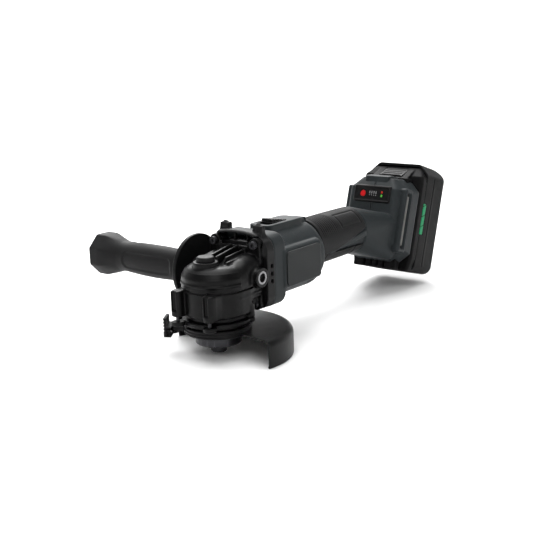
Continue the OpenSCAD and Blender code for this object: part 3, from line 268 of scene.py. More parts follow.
def skin(name, field, low, high, step):
    """Closed mesh of the surface field(x, y, z) = 0 in mm on a grid of that step: one point in each cell that
    the surface crosses, at the mean of its crossings, and one quad round each grid edge that it crosses."""
    axes = [np.arange(a, b + step, step, dtype=np.float32) for a, b in zip(low, high)]
    f = field(np.meshgrid(*axes, indexing="ij")).astype(np.float32)
    for axis in range(3):
        ends = np.moveaxis(f, axis, 0)
        ends[0] = np.maximum(ends[0], 0.1)
        ends[-1] = np.maximum(ends[-1], 0.1)
    f[np.abs(f) < 1e-4] = 1e-4
    inside = f < 0
    size = [n - 1 for n in f.shape]
    count = sum(inside[i:i + size[0], j:j + size[1], k:k + size[2]].astype(np.int8)
                for i, j, k in NET_CORNERS)
    cells = np.nonzero((count > 0) & (count < 8))
    index = np.full(size, -1, np.int32)
    index[cells] = np.arange(len(cells[0]))
    total = np.zeros((len(cells[0]), 3), np.float32)
    hits = np.zeros(len(cells[0]), np.float32)
    for a, b in NET_EDGES:
        fa = f[cells[0] + a[0], cells[1] + a[1], cells[2] + a[2]]
        fb = f[cells[0] + b[0], cells[1] + b[1], cells[2] + b[2]]
        cross = (fa < 0) != (fb < 0)
        t = np.where(cross, fa / np.where(cross, fa - fb, 1), 0)[:, None]
        total += cross[:, None] * (np.array(a) + t * (np.array(b) - np.array(a)))
        hits += cross
    points = np.array([ax[0] for ax in axes]) + step * (np.stack(cells, -1) + total / hits[:, None])
    quads = []
    for axis in range(3):
        v, w = (axis + 1) % 3, (axis + 2) % 3
        cut = [slice(1, -1)] * 3
        near, far = list(cut), list(cut)
        near[axis], far[axis] = slice(0, -1), slice(1, None)
        start = inside[tuple(near)]
        at = list(np.nonzero(start != inside[tuple(far)]))
        leaving = start[tuple(at)]
        at[v], at[w] = at[v] + 1, at[w] + 1
        corners = []
        for dv, dw in ((1, 1), (0, 1), (0, 0), (1, 0)):
            cell = list(at)
            cell[v], cell[w] = at[v] - dv, at[w] - dw
            corners.append(index[tuple(cell)])
        quad = np.stack(corners, -1)
        quads.append(np.where(leaving[:, None], quad, quad[:, ::-1]))
    quads = np.concatenate(quads)
    mesh = bpy.data.meshes.new(name)
    mesh.vertices.add(len(points))
    mesh.vertices.foreach_set("co", (points * MM).astype(np.float32).ravel())
    mesh.loops.add(quads.size)
    mesh.loops.foreach_set("vertex_index", quads.astype(np.int32).ravel())
    mesh.polygons.add(len(quads))
    mesh.polygons.foreach_set("loop_start", np.arange(0, quads.size, 4, dtype=np.int32))
    mesh.update(calc_edges=True)
    mesh.validate()
    mesh.shade_smooth()
    return mesh


# The nose's radius, the lower face of the head, the rise of its roof towards the motor, and its lobes.
NOSE_R, HEAD_LOW, ROOF_RISE = 31, 28.6, 0.16
LOBE_TOP, LOBE_HALF = 52, 5.6


def gear_head_field(p):
    """Round nose with a domed roof, joined to ribs, roof fins, screw lobes, side bosses and a rear flange."""
    x, y, z = p
    r = np.hypot(x, y)
    nose = joined(upright(p, 0, 0, 28, 72.5, NOSE_R, 13), upright(p, 0, 0, HEAD_LOW, 60, NOSE_R, 1.5), 0.4)
    nose = joined(nose, upright(p, 0, 0, 24, 40, 27.5, 1), 0.8)
    slope = 74 + ROOF_RISE * x
    neck = rounded_box((x, y, z - slope), (0, -30, -47), (33, 30, 0), 11)
    body = joined(nose, np.maximum(neck, x - 29), 5)
    # stepped ribs round the front of the nose
    for level, reach in ((57.5, 31.2), (62.5, 30.0), (67, 27.2)):
        rib = np.maximum(np.abs(z - level) - 0.9, np.maximum(r - reach - 0.6, x + 3))
        body = joined(body, rib, 1)
    # shoulder line above the straight wall
    body = carved(body, np.maximum(np.abs(z - 51.5) - 0.5, 30.2 - np.maximum(r, np.abs(y) + 0.9)), 0.6)
    # fins that run back from the collar over the roof
    for side in (-22.5, -16.5, -10.5, 10.5, 16.5, 22.5):
        swing = side * (0.74 + 0.26 * np.clip((x + 14) / 40, 0, 1) ** 0.8)
        crest = 79.2 - 0.021 * swing ** 2 + 0.17 * x
        start = -8 - 0.3 * abs(side) + 0.9 * np.clip(z - 62, 0, 30)
        fin = np.maximum(np.abs(y - swing) - 1.2, z - crest)
        fin = np.maximum(fin, np.maximum(start - x, x - 27.5))
        body = joined(body, np.maximum(fin, 50 - z), 1.0)
    for side in (-4, 4):
        rib = rounded_box((x, y - side, z - 80 - 0.17 * x), (-4, -1.2, -20), (27, 1.2, 0), 0.8)
        body = joined(body, rib, 1.0)
    # collar of the lock button
    body = joined(body, upright(p, BUTTON_X, 0, 56, 76.6, 11.4, 1.2), 1.6)
    # screw lobes at the front corners, open to the front
    for side in (-1, 1):
        lobe_y = side * FRONT_Y
        lobe = upright(p, FRONT_X, lobe_y, HEAD_LOW, LOBE_TOP, 5.8, 1.6)
        body = joined(body, np.maximum(lobe, -37.6 - x), 2)
        web = rounded_box(p, (-31, lobe_y - LOBE_HALF, HEAD_LOW), (-14, lobe_y + LOBE_HALF, LOBE_TOP), 2)
        body = joined(body, web, 1.5)
        body = carved(body, rounded_box(p, (-44, lobe_y - 2.3, 34), (-34.4, lobe_y + 2.3, 64), 1), 0.8)
        # flank: boss of the handle insert, a cast line, a pocket below it and the rear screw's lobe
        boss = np.hypot(x - INSERT_X, z - AXIS_Z) - 8.8
        boss = np.maximum(boss, side * y - 36)
        body = joined(body, np.maximum(boss, 20 - side * y), 2.5)
        line = rounded_box(p, (-4, side * 30 - 1.2, 44), (26, side * 30 + 1.2, 46.5), 1)
        body = joined(body, line, 1)
        body = carved(body, rounded_box(p, (12, side * 33 - 7.5, 20), (27.2, side * 33 + 7.5, 41), 3), 1.2)
        body = joined(body, upright(p, REAR_X, side * REAR_Y, 24, 37, 5, 1.2), 2)
    # rear flange with four ears
    plate = rounded_box(p, (26.6, -29, 27), (31, 29, 86), 1.2)
    corner = np.hypot(np.maximum(np.abs(y) - 19, 0), np.maximum(np.abs(z - AXIS_Z) - 19, 0)) - 10.8
    waist = z - 83.5
    plate = np.maximum(np.maximum(plate, corner), np.where(np.abs(y) < 15, waist, waist - 8))
    body = joined(body, plate, 1.5)
    for side in (-1, 1):
        for lift in (-EAR_LIFT, EAR_LIFT):
            ear = np.hypot(y - side * EAR_Y, z - AXIS_Z - lift) - 5.8
            body = joined(body, np.maximum(ear, np.abs(x - 28.8) - 2.2), 1)
    # holes: button, inserts, cover opening
    body = carved(body, upright(p, BUTTON_X, 0, 70, 90, 8.4, 0.2), 0.5)
    body = carved(body, np.maximum(np.hypot(x - INSERT_X, z - AXIS_Z) - 5.6, 33 - np.abs(y)), 0.4)
    body = np.maximum(body, -upright(p, 0, 0, 10, 50, 22.5, 1))
    return np.maximum(body, -np.maximum(np.hypot(y, z - AXIS_Z) - 15, 24 - x))


add_piece("gear_case_part", skin("gear_case_part", gear_head_field, (-39, -37, 22), (32, 37, 93), 0.55),
          cast_black, "tool", "gear_case", "gear_case")


COVER_LOW, COVER_TOP, COLLAR_R = 20.1, 23.9, 23.35


def cover_field(p):
    """Disc with four screw corners and a step, joined to the guard's collar, less the bearing's stepped bore."""
    body = upright(p, 0, 0, COVER_LOW, COVER_TOP, 31.4, 0.9)
    for side in (-1, 1):
        body = joined(body, upright(p, FRONT_X, side * FRONT_Y, COVER_LOW, COVER_TOP, 6.2, 0.9), 1.5)
        body = joined(body, upright(p, REAR_X, side * REAR_Y, COVER_LOW, COVER_TOP, 5, 0.9), 1.5)
    body = joined(body, upright(p, 0, 0, 18.6, 21, 29.6, 0.8), 0.5)
    collar = upright(p, 0, 0, 9.65, 21, COLLAR_R, 0.5)
    body = joined(body, collar, 0.6)
    body = carved(body, upright(p, 0, 0, 0, 14.2, 20.8, 0.5), 0.4)
    body = np.maximum(body, -upright(p, 0, 0, 0, 40, 10, 0.2))
    return np.maximum(body, -upright(p, 0, 0, 16.5, 40, 16.1, 0.2))


cover_mesh = skin("bearing_cover_part", cover_field, (-39, -34, 8), (34, 34, 25.5), 0.45)
add_piece("bearing_cover_part", cover_mesh, cast_black, "tool", "gear_case", "bearing_cover")

# ---------------------------------------------------------------- steel fittings
# Inserts and bearings are turned steel and the screws blackened steel, all in the castings and shells.
# The dust seal is rubber and the spindle's upper bush sintered bronze.
zinc_steel = finish("zinc plated steel", (0.36, 0.36, 0.37), 0.32, grain=2600, depth=0.1, metal=1.0)
turned_steel = finish("turned steel", (0.2, 0.2, 0.205), 0.34, grain=3200, depth=0.08, metal=1.0)
black_steel = finish("blackened steel", (0.035, 0.035, 0.038), 0.38, grain=2400, depth=0.15, metal=0.7,
                     wear=1.2)
for node in ("gear_case_screws", "bearing_cover_screws", "shell_screws"):
    dress(node, black_steel, "tool", "screw", 0.25)
dress("handle_inserts", turned_steel, "tool", "insert", 0.3)
for node in ("spindle_bearing", "pinion_bearing", "rear_bearing"):
    dress(node, turned_steel, "tool", "bearing", 0.3)
dress("dust_seal", finish("seal rubber", (0.01, 0.01, 0.01), 0.7), "tool", "seal", 0.2)
dress("spindle_bush", finish("sintered bronze", (0.35, 0.2, 0.08), 0.4, grain=3500, depth=0.3, metal=1.0),
      "tool", "bronze", 0.2)

# ---------------------------------------------------------------- spindle and nut
# The spindle, the disc flange and the nut are blackened steel, and the crown gear is turned steel.
# The gear and the flange are pressed on the spindle, and the nut is screwed on its end.
dress("spindle", black_steel, "spindle", "spindle", 0.25)
dress("crown_gear", turned_steel, "spindle", "gear", 0.15)
dress("inner_flange", black_steel, "spindle", "flange", 0.3)
dress("flange_nut", black_steel, "nut", "flange", 0.4)

# ---------------------------------------------------------------- motor
# Laminated rotor and stator with copper windings, a moulded nylon fan and a sensor board.
# The rotor turns in two ball bearings, and the stator is pressed into the motor housing.
lamination = finish("electrical steel", (0.2, 0.2, 0.21), 0.4, grain=3000, depth=0.3, metal=0.9)
copper = finish("enamelled copper", (0.42, 0.14, 0.04), 0.35, grain=2200, depth=0.8, metal=0.8)
circuit = finish("circuit board", (0.01, 0.09, 0.03), 0.4, grain=800, depth=0.3)
fan_nylon = finish("fan nylon", (0.02, 0.02, 0.022), 0.5)
dress("pinion", turned_steel, "rotor", "gear", 0.15)
dress("rotor_shaft", turned_steel, "rotor", "spindle", 0.15)
dress("rotor", lamination, "rotor", "lamination", 0.2)
dress("cooling_fan", fan_nylon, "rotor", "fan", 0.2)
dress("stator", lamination, "tool", "lamination", 0.3)
dress("windings", copper, "tool", "copper", 0.8, 3)
dress("sensor_board", circuit, "tool", "board", 0.1)

# ---------------------------------------------------------------- spindle lock
# A moulded button of black nylon on a steel pin, held in the collar on top of the gear head.
# A coil spring under the button lifts it.
black_nylon = finish("grained black nylon", (0.0045, 0.0045, 0.0048), 0.46, grain=1700, depth=0.16)
dress("lock_button", black_nylon, "spindle_lock", "black_plastic", 0.5)
dress("lock_pin", turned_steel, "spindle_lock", "spindle", 0.3)
dress("lock_spring", turned_steel, "spindle_lock", "spring", 0)

# ---------------------------------------------------------------- air deflector and motor housing
# The deflector is black nylon, clamped between the gear head and the motor housing by four screws.
# The slate nylon housing carries a plain label plate on each flank and a raised rim round the slide switch.
slate_nylon = finish("grained slate nylon", (0.0165, 0.0198, 0.0212), 0.5, grain=1600, depth=0.16)


# The deflector's flat top, its rear face, and the place of the stops and corner pads to either side.
DEFLECTOR_TOP, DEFLECTOR_REAR = 84, 41.9
STOP_Y, PAD_Y = 19, 27


def deflector_field(p):
    """Square collar with vents, joined to a bowed bridge over a long opening, two stops and two posts."""
    x, y, z = p
    square = np.hypot(np.maximum(np.abs(y) - 20, 0), np.maximum(np.abs(z - AXIS_Z) - 20, 0)) - 13.6
    body = np.maximum(square, np.abs(x - 36.5) - 5.3)
    bow = 95.0 - 0.0042 * y * y
    loop = rounded_box((x, y, z - bow), (28.2, -25.5, -11.5), (DEFLECTOR_REAR, 25.5, 2), 4.5)
    body = joined(body, loop, 1.5)
    for side in (-1, 1):
        stop_y, pad_y, above = side * STOP_Y, side * PAD_Y, z - DEFLECTOR_TOP
        stop = rounded_box(p, (35.6, stop_y - 5.2, DEFLECTOR_TOP), (DEFLECTOR_REAR, stop_y + 5.2, 101.3), 1.4)
        body = joined(body, stop, 1.2)
        taper = np.maximum(np.abs(y - stop_y) + 0.45 * above - 10.4, np.abs(x - 38.4) + 0.25 * above - 5.4)
        body = joined(body, np.maximum(taper, -above), 1.5)
        pad = rounded_box(p, (29, pad_y - 4.5, 74), (DEFLECTOR_REAR, pad_y + 4.5, 88), 3)
        body = joined(body, pad, 2)
        for vent_z in (AXIS_Z - 7, AXIS_Z, AXIS_Z + 7):
            vent = rounded_box(p, (36.2, side * 33 - 6, vent_z - 1.7), (39.6, side * 33 + 6, vent_z + 1.7), 0.8)
            body = carved(body, vent, 0.5)
        for lift in (-EAR_LIFT, EAR_LIFT):
            seat = np.hypot(y - side * EAR_Y, z - AXIS_Z - lift) - 6.6
            seat = np.maximum(seat, np.abs(x - 28.6) - 3.2)
            body = carved(body, seat, 0.6)
    opening = rounded_box((x, y, z - bow), (20, -21.6, -8.6), (50, 21.6, -0.7), 3.6)
    body = carved(body, opening, 0.8)
    body = carved(body, rounded_box(p, (24, -18, 83), (33, 18, 87.5), 1), 0.5)
    for post in (-7.2, 7.2):
        body = joined(body, rounded_box(p, (36, post - 1, DEFLECTOR_TOP), (39, post + 1, 93), 0.6), 0.8)
    return np.maximum(body, 13 - np.hypot(y, z - AXIS_Z))


deflector_mesh = skin("air_deflector_part", deflector_field, (26, -36, 23), (44, 36, 103), 0.5)
add_piece("air_deflector_part", deflector_mesh, black_nylon, "tool", "black_plastic", "air_deflector")


def moulded(node, material, body, slot, cell, passes=4):
    """The CAD node's shape rebuilt on a grid of that cell in mm and relaxed, which rounds its edges."""
    piece = add_piece(node + "_part", merged_copy(node, node + "_part"), material, body, slot, node)
    grid = piece.modifiers.new("grid", "REMESH")
    grid.mode = "VOXEL"
    grid.voxel_size = cell * MM
    grid.use_smooth_shade = True
    relax = piece.modifiers.new("relax", "SMOOTH")
    relax.factor = 0.5
    relax.iterations = passes
    return piece


moulded("motor_housing", slate_nylon, "tool", "slate_plastic", 0.85)


RIM_HALF = 12.6


def rim_tail_field(p):
    """Tail of the switch rim, narrowed and lowered in proportion to its run over the switch link."""
    x, y, z = p
    run = np.clip(x - 112, 0, 20)
    half = RIM_HALF - 0.32 * run
    crest = 95.8 - 0.12 * run
    tail = rounded_box((x, y * RIM_HALF / half, z - crest), (106, -RIM_HALF, -18), (128.5, RIM_HALF, 0), 3)
    return carved(tail, rounded_box(p, (100, -9, 50), (126.6, 9, 94.4), 1), 0.4)


rim_tail_mesh = skin("rim_tail_part", rim_tail_field, (104, -14, 76), (130, 14, 97), 0.45)
add_piece("rim_tail_part", rim_tail_mesh, slate_nylon, "tool", "slate_plastic")
label_plate = finish("label plate", (0.015, 0.0165, 0.017), 0.5, grain=2600, depth=0.08)
dress("side_plates", label_plate, "tool", "badge", 0.3)

# ---------------------------------------------------------------- slide switch
# A ribbed slider of black nylon in the rim, and the acetal link that carries its stroke back to the switch.
# Both slide together inside the motor housing, and the switch itself is held between the grip shells.
dress("switch_slider", black_nylon, "switch", "black_plastic", 0.35)
dress("switch_link", finish("black acetal", (0.006, 0.006, 0.0062), 0.4), "switch", "link", 0.3)
dress("switch_block", black_nylon, "tool", "black_plastic", 0.4)

# ---------------------------------------------------------------- grip and rear housing
# Two slate nylon half shells screwed together, with a black rubber overmould on the grip.
# The rear housing carries the control panel, the long flank slots and the battery's terminals.
rubber = finish("soft overmould", (0.0085, 0.0085, 0.0088), 0.58, grain=1300, depth=0.3)
moulded("left_shell", slate_nylon, "tool", "slate_plastic", 0.8)
moulded("right_shell", slate_nylon, "tool", "slate_plastic", 0.8)


# The grip's axis, and the outer and inner radius of its rubber.
GRIP_Z, RUBBER_OUT, RUBBER_IN = 65.5, 24.15, 22.65


def strip_distance(x, z):
    """Distance in mm across the slanted strip on each flank, whose half width grows by 0.15 mm per mm."""
    along = x - 158
    middle = 57.8 + 0.13 * (x - 178)
    half = 1.0 + 0.15 * np.clip(along, 0, 60)
    return np.maximum(np.abs(z - middle) - half, -along)


def grip_field(side):
    """Half of the rubber sleeve: a tube of radius RUBBER_OUT plus a slow cosine along the grip, less a cosine
    for the cross ridges, with sunken outlines and the strip left open."""
    def field(p):
        x, y, z = p
        a = np.arctan2(y * side, z - GRIP_Z)
        r = np.hypot(y, z - GRIP_Z)
        swell = 0.35 * np.cos(math.pi * (x - 170) / 90)
        outer = RUBBER_OUT + swell
        ridge = np.clip(np.minimum(x - 133, 163 - x), 0, 1) * np.clip((1.25 - a) * 4, 0, 1)
        outer = outer - 0.75 * ridge * (0.5 + 0.5 * np.cos(2 * math.pi * (x - 133) / 3.0))
        frame_line = np.abs(np.maximum(np.abs(x - 187) - 17, np.abs(a - 0.75) * 24 - 8))
        outer = outer - 0.55 * np.clip(1.5 - frame_line, 0, 1)
        low_line = np.abs(np.maximum(np.abs(x - 168) - 26, np.abs(a - 2.35) * 24 - 8))
        outer = outer - 0.55 * np.clip(1.5 - low_line, 0, 1)
        tube = np.maximum(r - outer, RUBBER_IN - r)
        tube = np.maximum(tube, np.abs(x - 170.5) - 40)
        tube = np.maximum(tube, 0.06 - y * side)
        return np.maximum(tube, -strip_distance(x, z))
    return field


for name, side in (("grip_rubber_left", 1), ("grip_rubber_right", -1)):
    low, high = ((129, -1, 39), (212, 26, 92)) if side > 0 else ((129, -26, 39), (212, 1, 92))
    sleeve = skin(name + "_part", grip_field(side), low, high, 0.5)
    add_piece(name + "_part", sleeve, rubber, "tool", "rubber", name)

# The battery leans back by this angle about a line across the tool at (x, z).
LEAN = math.radians(17)
LEAN_X, LEAN_Z = 290, 62


def pack_frame(p):
    """Coordinates (n, y, u) in mm that lean back with the battery: (x, z) turned by LEAN about its line."""
    x, z = p[0] - LEAN_X, p[2] - LEAN_Z
    return x * math.cos(LEAN) - z * math.sin(LEAN), p[1], x * math.sin(LEAN) + z * math.cos(LEAN)


def control_field(p):
    """Rounded panel less a shallow face and a round well for the charge button."""
    q = n, y, u = pack_frame(p)
    body = rounded_box(q, (-39.3, -23, 14.6), (-33.5, 23, 33.6), 2.4)
    body = carved(body, rounded_box(q, (-45, -21.3, 16.6), (-38.1, 21.3, 31.4), 1.6), 0.4)
    return np.maximum(body, -np.maximum(np.hypot(y - 12, u - 24) - 3.6, n + 34.2))


panel_mesh = skin("control_panel_part", control_field, (256, -24.5, 84), (270, 24.5, 107), 0.35)
add_piece("control_panel_part", panel_mesh, black_nylon, "tool", "black_plastic", "control_panel")
button_red = finish("red button", (0.45, 0.01, 0.012), 0.35, grain=2500, depth=0.05)
dress("level_button", button_red, "charge_button", "red_button", 0.3)
diffuser = finish("milky diffuser", (0.13, 0.13, 0.122), 0.5, grain=2200, depth=0.05)


TILE_FRONT, TILE_BACK = -39.2, -38.15


def panel_tile(y, u, half_y, half_u):
    """Distance in mm to a rounded tile on the control panel's face, centred at (y, u)."""
    def field(p):
        n, across, up = pack_frame(p)
        at = (n, across - y, up - u)
        return rounded_box(at, (TILE_FRONT, -half_y, -half_u), (TILE_BACK, half_y, half_u), 0.35)
    return field


def panel_piece(name, fields, material, slot, *replaced):
    """One mesh of all the tiles, skinned in one grid over the control panel's front face."""
    def field(p):
        d = fields[0](p)
        for other in fields[1:]:
            d = np.minimum(d, other(p))
        return d
    mesh = skin(name, field, (257, -16, 88), (268, 16, 103), 0.2)
    add_piece(name, mesh, material, "tool", slot, *replaced)


red_window = finish("red light window", (0.5, 0.03, 0.012), 0.3, grain=2400, depth=0.05)
green_window = finish("green light window", (0.10, 0.45, 0.06), 0.3, grain=2400, depth=0.05)
printed_grey = finish("printed grey", (0.22, 0.22, 0.22), 0.5, grain=2400, depth=0.05)
panel_piece("light_red", [panel_tile(-12, 26.2, 0.9, 1.1)], red_window, "light", "level_lights")
panel_piece("light_green", [panel_tile(-12, 22.4, 0.9, 1.3)], green_window, "light", "level_lights")
TICK_PITCH = 2.6
ticks = [panel_tile(3 - TICK_PITCH * i, 25.6, 0.42, 1.5) for i in range(4)]
ticks += [panel_tile(3 - TICK_PITCH * i, 22.6, 0.42, 0.5) for i in range(4)]
panel_piece("panel_marks", ticks, printed_grey, "light")


def flank_box(n0, n1, y0, y1, u0, u1, r):
    """Rounded box between those n, |y| and u in mm on both flanks of the rear housing."""
    def field(p):
        n, y, u = pack_frame(p)
        return rounded_box((n, np.abs(y), u), (n0, y0, u0), (n1, y1, u1), r)
    return field


frame_out = flank_box(-31, -14, 27, 37.2, -35, 34, 3.5)
frame_in = flank_box(-26.8, -18.2, 34.3, 45, -30.5, 29.5, 2.2)
# A black sheet just above the slate floor of each flank slot: painted shade for the shadow inside the slot, since
# the floor itself is slate like the frame.
slot_shade_bed = flank_box(-27.2, -17.8, 29, 34.5, -31, 30, 1.5)
slot_bar = flank_box(-24.2, -20.8, 33, 35.9, -27, 26, 1.2)
SLOT_LOW, SLOT_HIGH = (250, -38.5, 20), (290, 38.5, 102)
frame_mesh = skin("slot_frames_part", lambda p: carved(frame_out(p), frame_in(p), 0.8),
                  SLOT_LOW, SLOT_HIGH, 0.6)
add_piece("slot_frames_part", frame_mesh, slate_nylon, "tool", "slate_plastic")
# Painted shade: the black sheet in the flank slots, dark in colour where the real slot is only dark in shadow.
shade_bed_mesh = skin("slot_shade_beds_part", slot_shade_bed, SLOT_LOW, SLOT_HIGH, 0.7)
add_piece("slot_shade_beds_part", shade_bed_mesh, black_nylon, "tool", "black_plastic", "slot_frames")
bar_mesh = skin("slot_inserts_part", slot_bar, SLOT_LOW, SLOT_HIGH, 0.5)
add_piece("slot_inserts_part", bar_mesh, diffuser, "tool", "light", "slot_inserts")


def ridge_field(p):
    """Raised block on top of the rear housing, in front of the battery's nose, cut by a slanted plane."""
    q = n, _, u = pack_frame(p)
    block = rounded_box(q, (-34, -15, 30), (-11, 15, 46.6), 2.5)
    return np.maximum(block, (-0.9 * n + u - 75) / 1.35)


ridge_mesh = skin("top_ridge_part", ridge_field, (262, -16.5, 84), (296, 16.5, 114), 0.5)
add_piece("top_ridge_part", ridge_mesh, slate_nylon, "tool", "slate_plastic")
dress("controller_board", circuit, "tool", "board", 0.2)
dress("terminal_block", black_nylon, "tool", "black_plastic", 0.3)
contact_metal = finish("tinned contact", (0.6, 0.5, 0.3), 0.25, grain=3000, depth=0.1, metal=1.0)
dress("terminal_blades", contact_metal, "tool", "contact", 0.1)

# ---------------------------------------------------------------- battery
# Two black nylon cases that close round ten cells, with a green level stripe on each flank.
# The pack slides on rails in the rear housing and is held by the tongue of its release button.
pack_nylon = finish("grained pack nylon", (0.0045, 0.0045, 0.0047), 0.55, grain=1400, depth=0.2,
                    specular=0.07)
moulded("pack_front_case", pack_nylon, "battery", "pack_plastic", 0.7, 3)
# Half the battery's width, and the n of the seam between its two cases.
PACK_HALF, PACK_SEAM = 37.4, 10.1


def pack_rear_field(p):
    """Rounded shell behind the seam with sloped shoulders, less a flank panel, a groove and the stripe's seat."""
    q = n, y, u = pack_frame(p)
    block = rounded_box(q, (-14, -PACK_HALF, -53), (56.6, PACK_HALF, 66), 10)
    shoulder = np.maximum((np.abs(y) + u - 92) / 1.414, (n * 0.42 + u - 84) / 1.085)
    block = carved(block, -shoulder, 2)
    panel = np.maximum(37.1 - np.abs(y), rounded_box((n, 0 * y, u), (30, -9, -44), (51, 9, 44), 4))
    block = carved(block, panel, 0.3)
    groove = np.maximum(np.abs(n - 26) - 0.45, 36.9 - np.abs(y))
    block = carved(block, groove, 0.3)
    stripe = np.maximum(37.0 - np.abs(y), rounded_box((n, 0 * y, u), (9, -9, -10.6), (16.8, 9, 23.6), 0.5))
    block = carved(block, stripe, 0.2)
    block = np.maximum(block, PACK_SEAM - n)
    hollow = rounded_box(q, (-20, -34.6, -50), (53.8, 34.6, 63), 8)
    return np.maximum(block, -np.maximum(hollow, shoulder + 3))


rear_case = skin("pack_rear_case_part", pack_rear_field, (278, -38.5, -12), (359, 38.5, 124), 0.75)
add_piece("pack_rear_case_part", rear_case, pack_nylon, "battery", "pack_plastic", "pack_rear_case")
dress("battery_cells", finish("cell sleeve", (0.03, 0.12, 0.3), 0.35), "battery", "cell", 0.6)
dress("pack_board", circuit, "battery", "board", 0.1)


GAP_PITCH = 11.2


def stripe_field(p):
    """Rounded strip in the skin of both flanks, cut by slanted gaps at every GAP_PITCH of its length."""
    n, y, u = pack_frame(p)
    strip = rounded_box((n, 0 * y, u), (10.6, -9, -10.2), (16.4, 9, 23.2), 0.6)
    strip = np.maximum(strip, np.abs(y) - (PACK_HALF + 0.05))
    strip = np.maximum(strip, 36.0 - np.abs(y))
    step = u - 0.55 * (n - 10) + 8.5
    return np.maximum(strip, 0.5 - np.abs(np.mod(step, GAP_PITCH) - GAP_PITCH / 2))


stripe_green = finish("green stripe", (0.004, 0.2, 0.075), 0.4, grain=2400, depth=0.06)
stripe_mesh = skin("level_stripe_part", stripe_field, (292, -38.5, 46), (318, 38.5, 84), 0.4)
add_piece("level_stripe_part", stripe_mesh, stripe_green, "battery", "green_stripe", "level_stripe")
dress("release_button", black_nylon, "battery_release", "pack_plastic", 0.4)
dress("latch_tongue", black_nylon, "battery_release", "pack_plastic", 0.3)

# ---------------------------------------------------------------- side handle
# A rubber covered handle and its round hand guard, moulded on a zinc plated stud.
# The stud is screwed into the threaded insert on the left side of the gear head.
dress("hand_guard", black_nylon, "handle", "black_plastic", 0.8)
dress("handle_stud", zinc_steel, "handle", "spindle", 0.3)


# The handle's smallest radius, the bulge of its barrel, the flare of its end, and the largest radius there.
WAIST_R, BULGE, FLARE, FLARE_R = 14.2, 2.2, 6.6, 21.4
HANDLE_MIDDLE, HANDLE_HALF = 105.2, 61.8


def handle_field(p):
    """Radius about the handle's axis: waist + sine bulge + smooth flare with eight flats, less three panels."""
    x, y, z = p[0] - INSERT_X, p[1], p[2] - AXIS_Z
    a = np.arctan2(x, z)
    r = np.hypot(x, z)
    barrel = WAIST_R + BULGE * np.clip(np.sin(math.pi * np.clip((y - 49) / 86, 0, 1)), 0, 1) ** 0.8
    rise = np.clip((y - 128) / 30, 0, 1)
    flare = FLARE * rise ** 2 * (3 - 2 * rise)
    flats = np.cos(np.mod(a + math.pi / 8, math.pi / 4) - math.pi / 8)
    outer = barrel + flare
    octagon = outer / np.maximum(flats, 0.9)
    mix = np.clip((y - 140) / 12, 0, 1)
    outer = outer * (1 - mix) + np.minimum(octagon * 0.965, FLARE_R) * mix
    neck = np.clip((56 - y) / 6, 0, 1)
    outer = outer + 1.6 * neck
    for centre in (-math.pi / 2, math.pi / 6, 5 * math.pi / 6):
        turn = np.abs(np.mod(a - centre + math.pi, 2 * math.pi) - math.pi)
        panel = rounded_box((y, turn * 15.5, 0 * y), (62, -9, -9), (126, 9, 9), 6)
        outer = outer - 1.1 * np.clip(-panel / 1.2, 0, 1)
    body = r - outer
    along = np.abs(y - HANDLE_MIDDLE)
    ends = np.hypot(np.maximum(body + 2, 0), np.maximum(along - (HANDLE_HALF - 2), 0)) - 2
    body = np.maximum(ends, np.maximum(body, along - HANDLE_HALF))
    dish = np.maximum(np.hypot(r, y - 196) - 31.5, 160 - y)
    body = carved(body, dish, 0.8)
    return np.maximum(body, -np.maximum(r - 4.3, y - 80))


add_piece("side_handle_part", skin("side_handle_part", handle_field, (-3, 42.5, 35), (45, 168.5, 83), 0.7),
          rubber, "handle", "handle_plastic", "side_handle")

# ---------------------------------------------------------------- wheel guard
# Pressed steel under black powder coat, welded to a clamp band that turns on the bearing cover's collar.
# A lever on a pin through the band's ears closes the band.
powder_black = finish("black powder coat", (0.0032, 0.0032, 0.0034), 0.38, grain=1100, depth=0.3, wear=1.0)
dress("guard_shell", powder_black, "guard", "guard_sheet", 0.3)


# The band's inner and outer radius, its lower face and the top of its ears, and the ears' angle and reach.
BAND_IN, BAND_OUT, BAND_LOW, EAR_TOP = 23.5, 30.4, 10.2, 16.6
EAR_ANGLE, PIN_REACH = math.radians(122), 40.04


def band_field(p):
    """Ring between BAND_IN and BAND_OUT less two lines round it and a slit, joined to the ears of the pin."""
    x, y, z = p
    cosine, sine = math.cos(EAR_ANGLE), math.sin(EAR_ANGLE)
    out, across = x * cosine + y * sine, y * cosine - x * sine
    body = upright(p, 0, 0, BAND_LOW, 17.6, BAND_OUT, 1.3)
    ring = np.hypot(x, y)
    for level in (12.6, 15.2):
        body = carved(body, np.hypot(ring - BAND_OUT, z - level) - 0.45, 0.3)
    local = (out, across, z)
    body = joined(body, rounded_box(local, (26, -3.1, BAND_LOW), (40, 3.1, EAR_TOP), 0.8), 1)
    body = joined(body, upright(local, PIN_REACH, 0, BAND_LOW, EAR_TOP, 3.4, 0.6), 0.6)
    body = joined(body, rounded_box(local, (26, -9.5, BAND_LOW), (34.5, -5.6, EAR_TOP), 0.8), 1)
    body = carved(body, rounded_box(local, (22, -5.1, 8), (36, -3.9, 20), 0.2), 0.3)
    body = np.maximum(body, 1.84 - np.hypot(out - PIN_REACH, across))
    return np.maximum(body, BAND_IN - ring)


add_piece("guard_band_part", skin("guard_band_part", band_field, (-40, -33, 9), (33, 42, 19), 0.42),
          powder_black, "guard", "guard_sheet", "guard_band")
dress("clamp_pin", zinc_steel, "guard", "spindle", 0.2)
dress("clamp_lever", powder_black, "guard_lever", "guard_sheet", 0.3)

# ---------------------------------------------------------------- floor, light and camera
# A pale floor under the tool, soft light from above and both sides, and the camera in front of the head.
# The camera stands 0.9 m away, a little above the tool and to the left of its nose.
FLOOR_Z = cad_box[0][2]
FLAT_R, RIM_RISE, SPOKES = 1.2, 0.25, 64


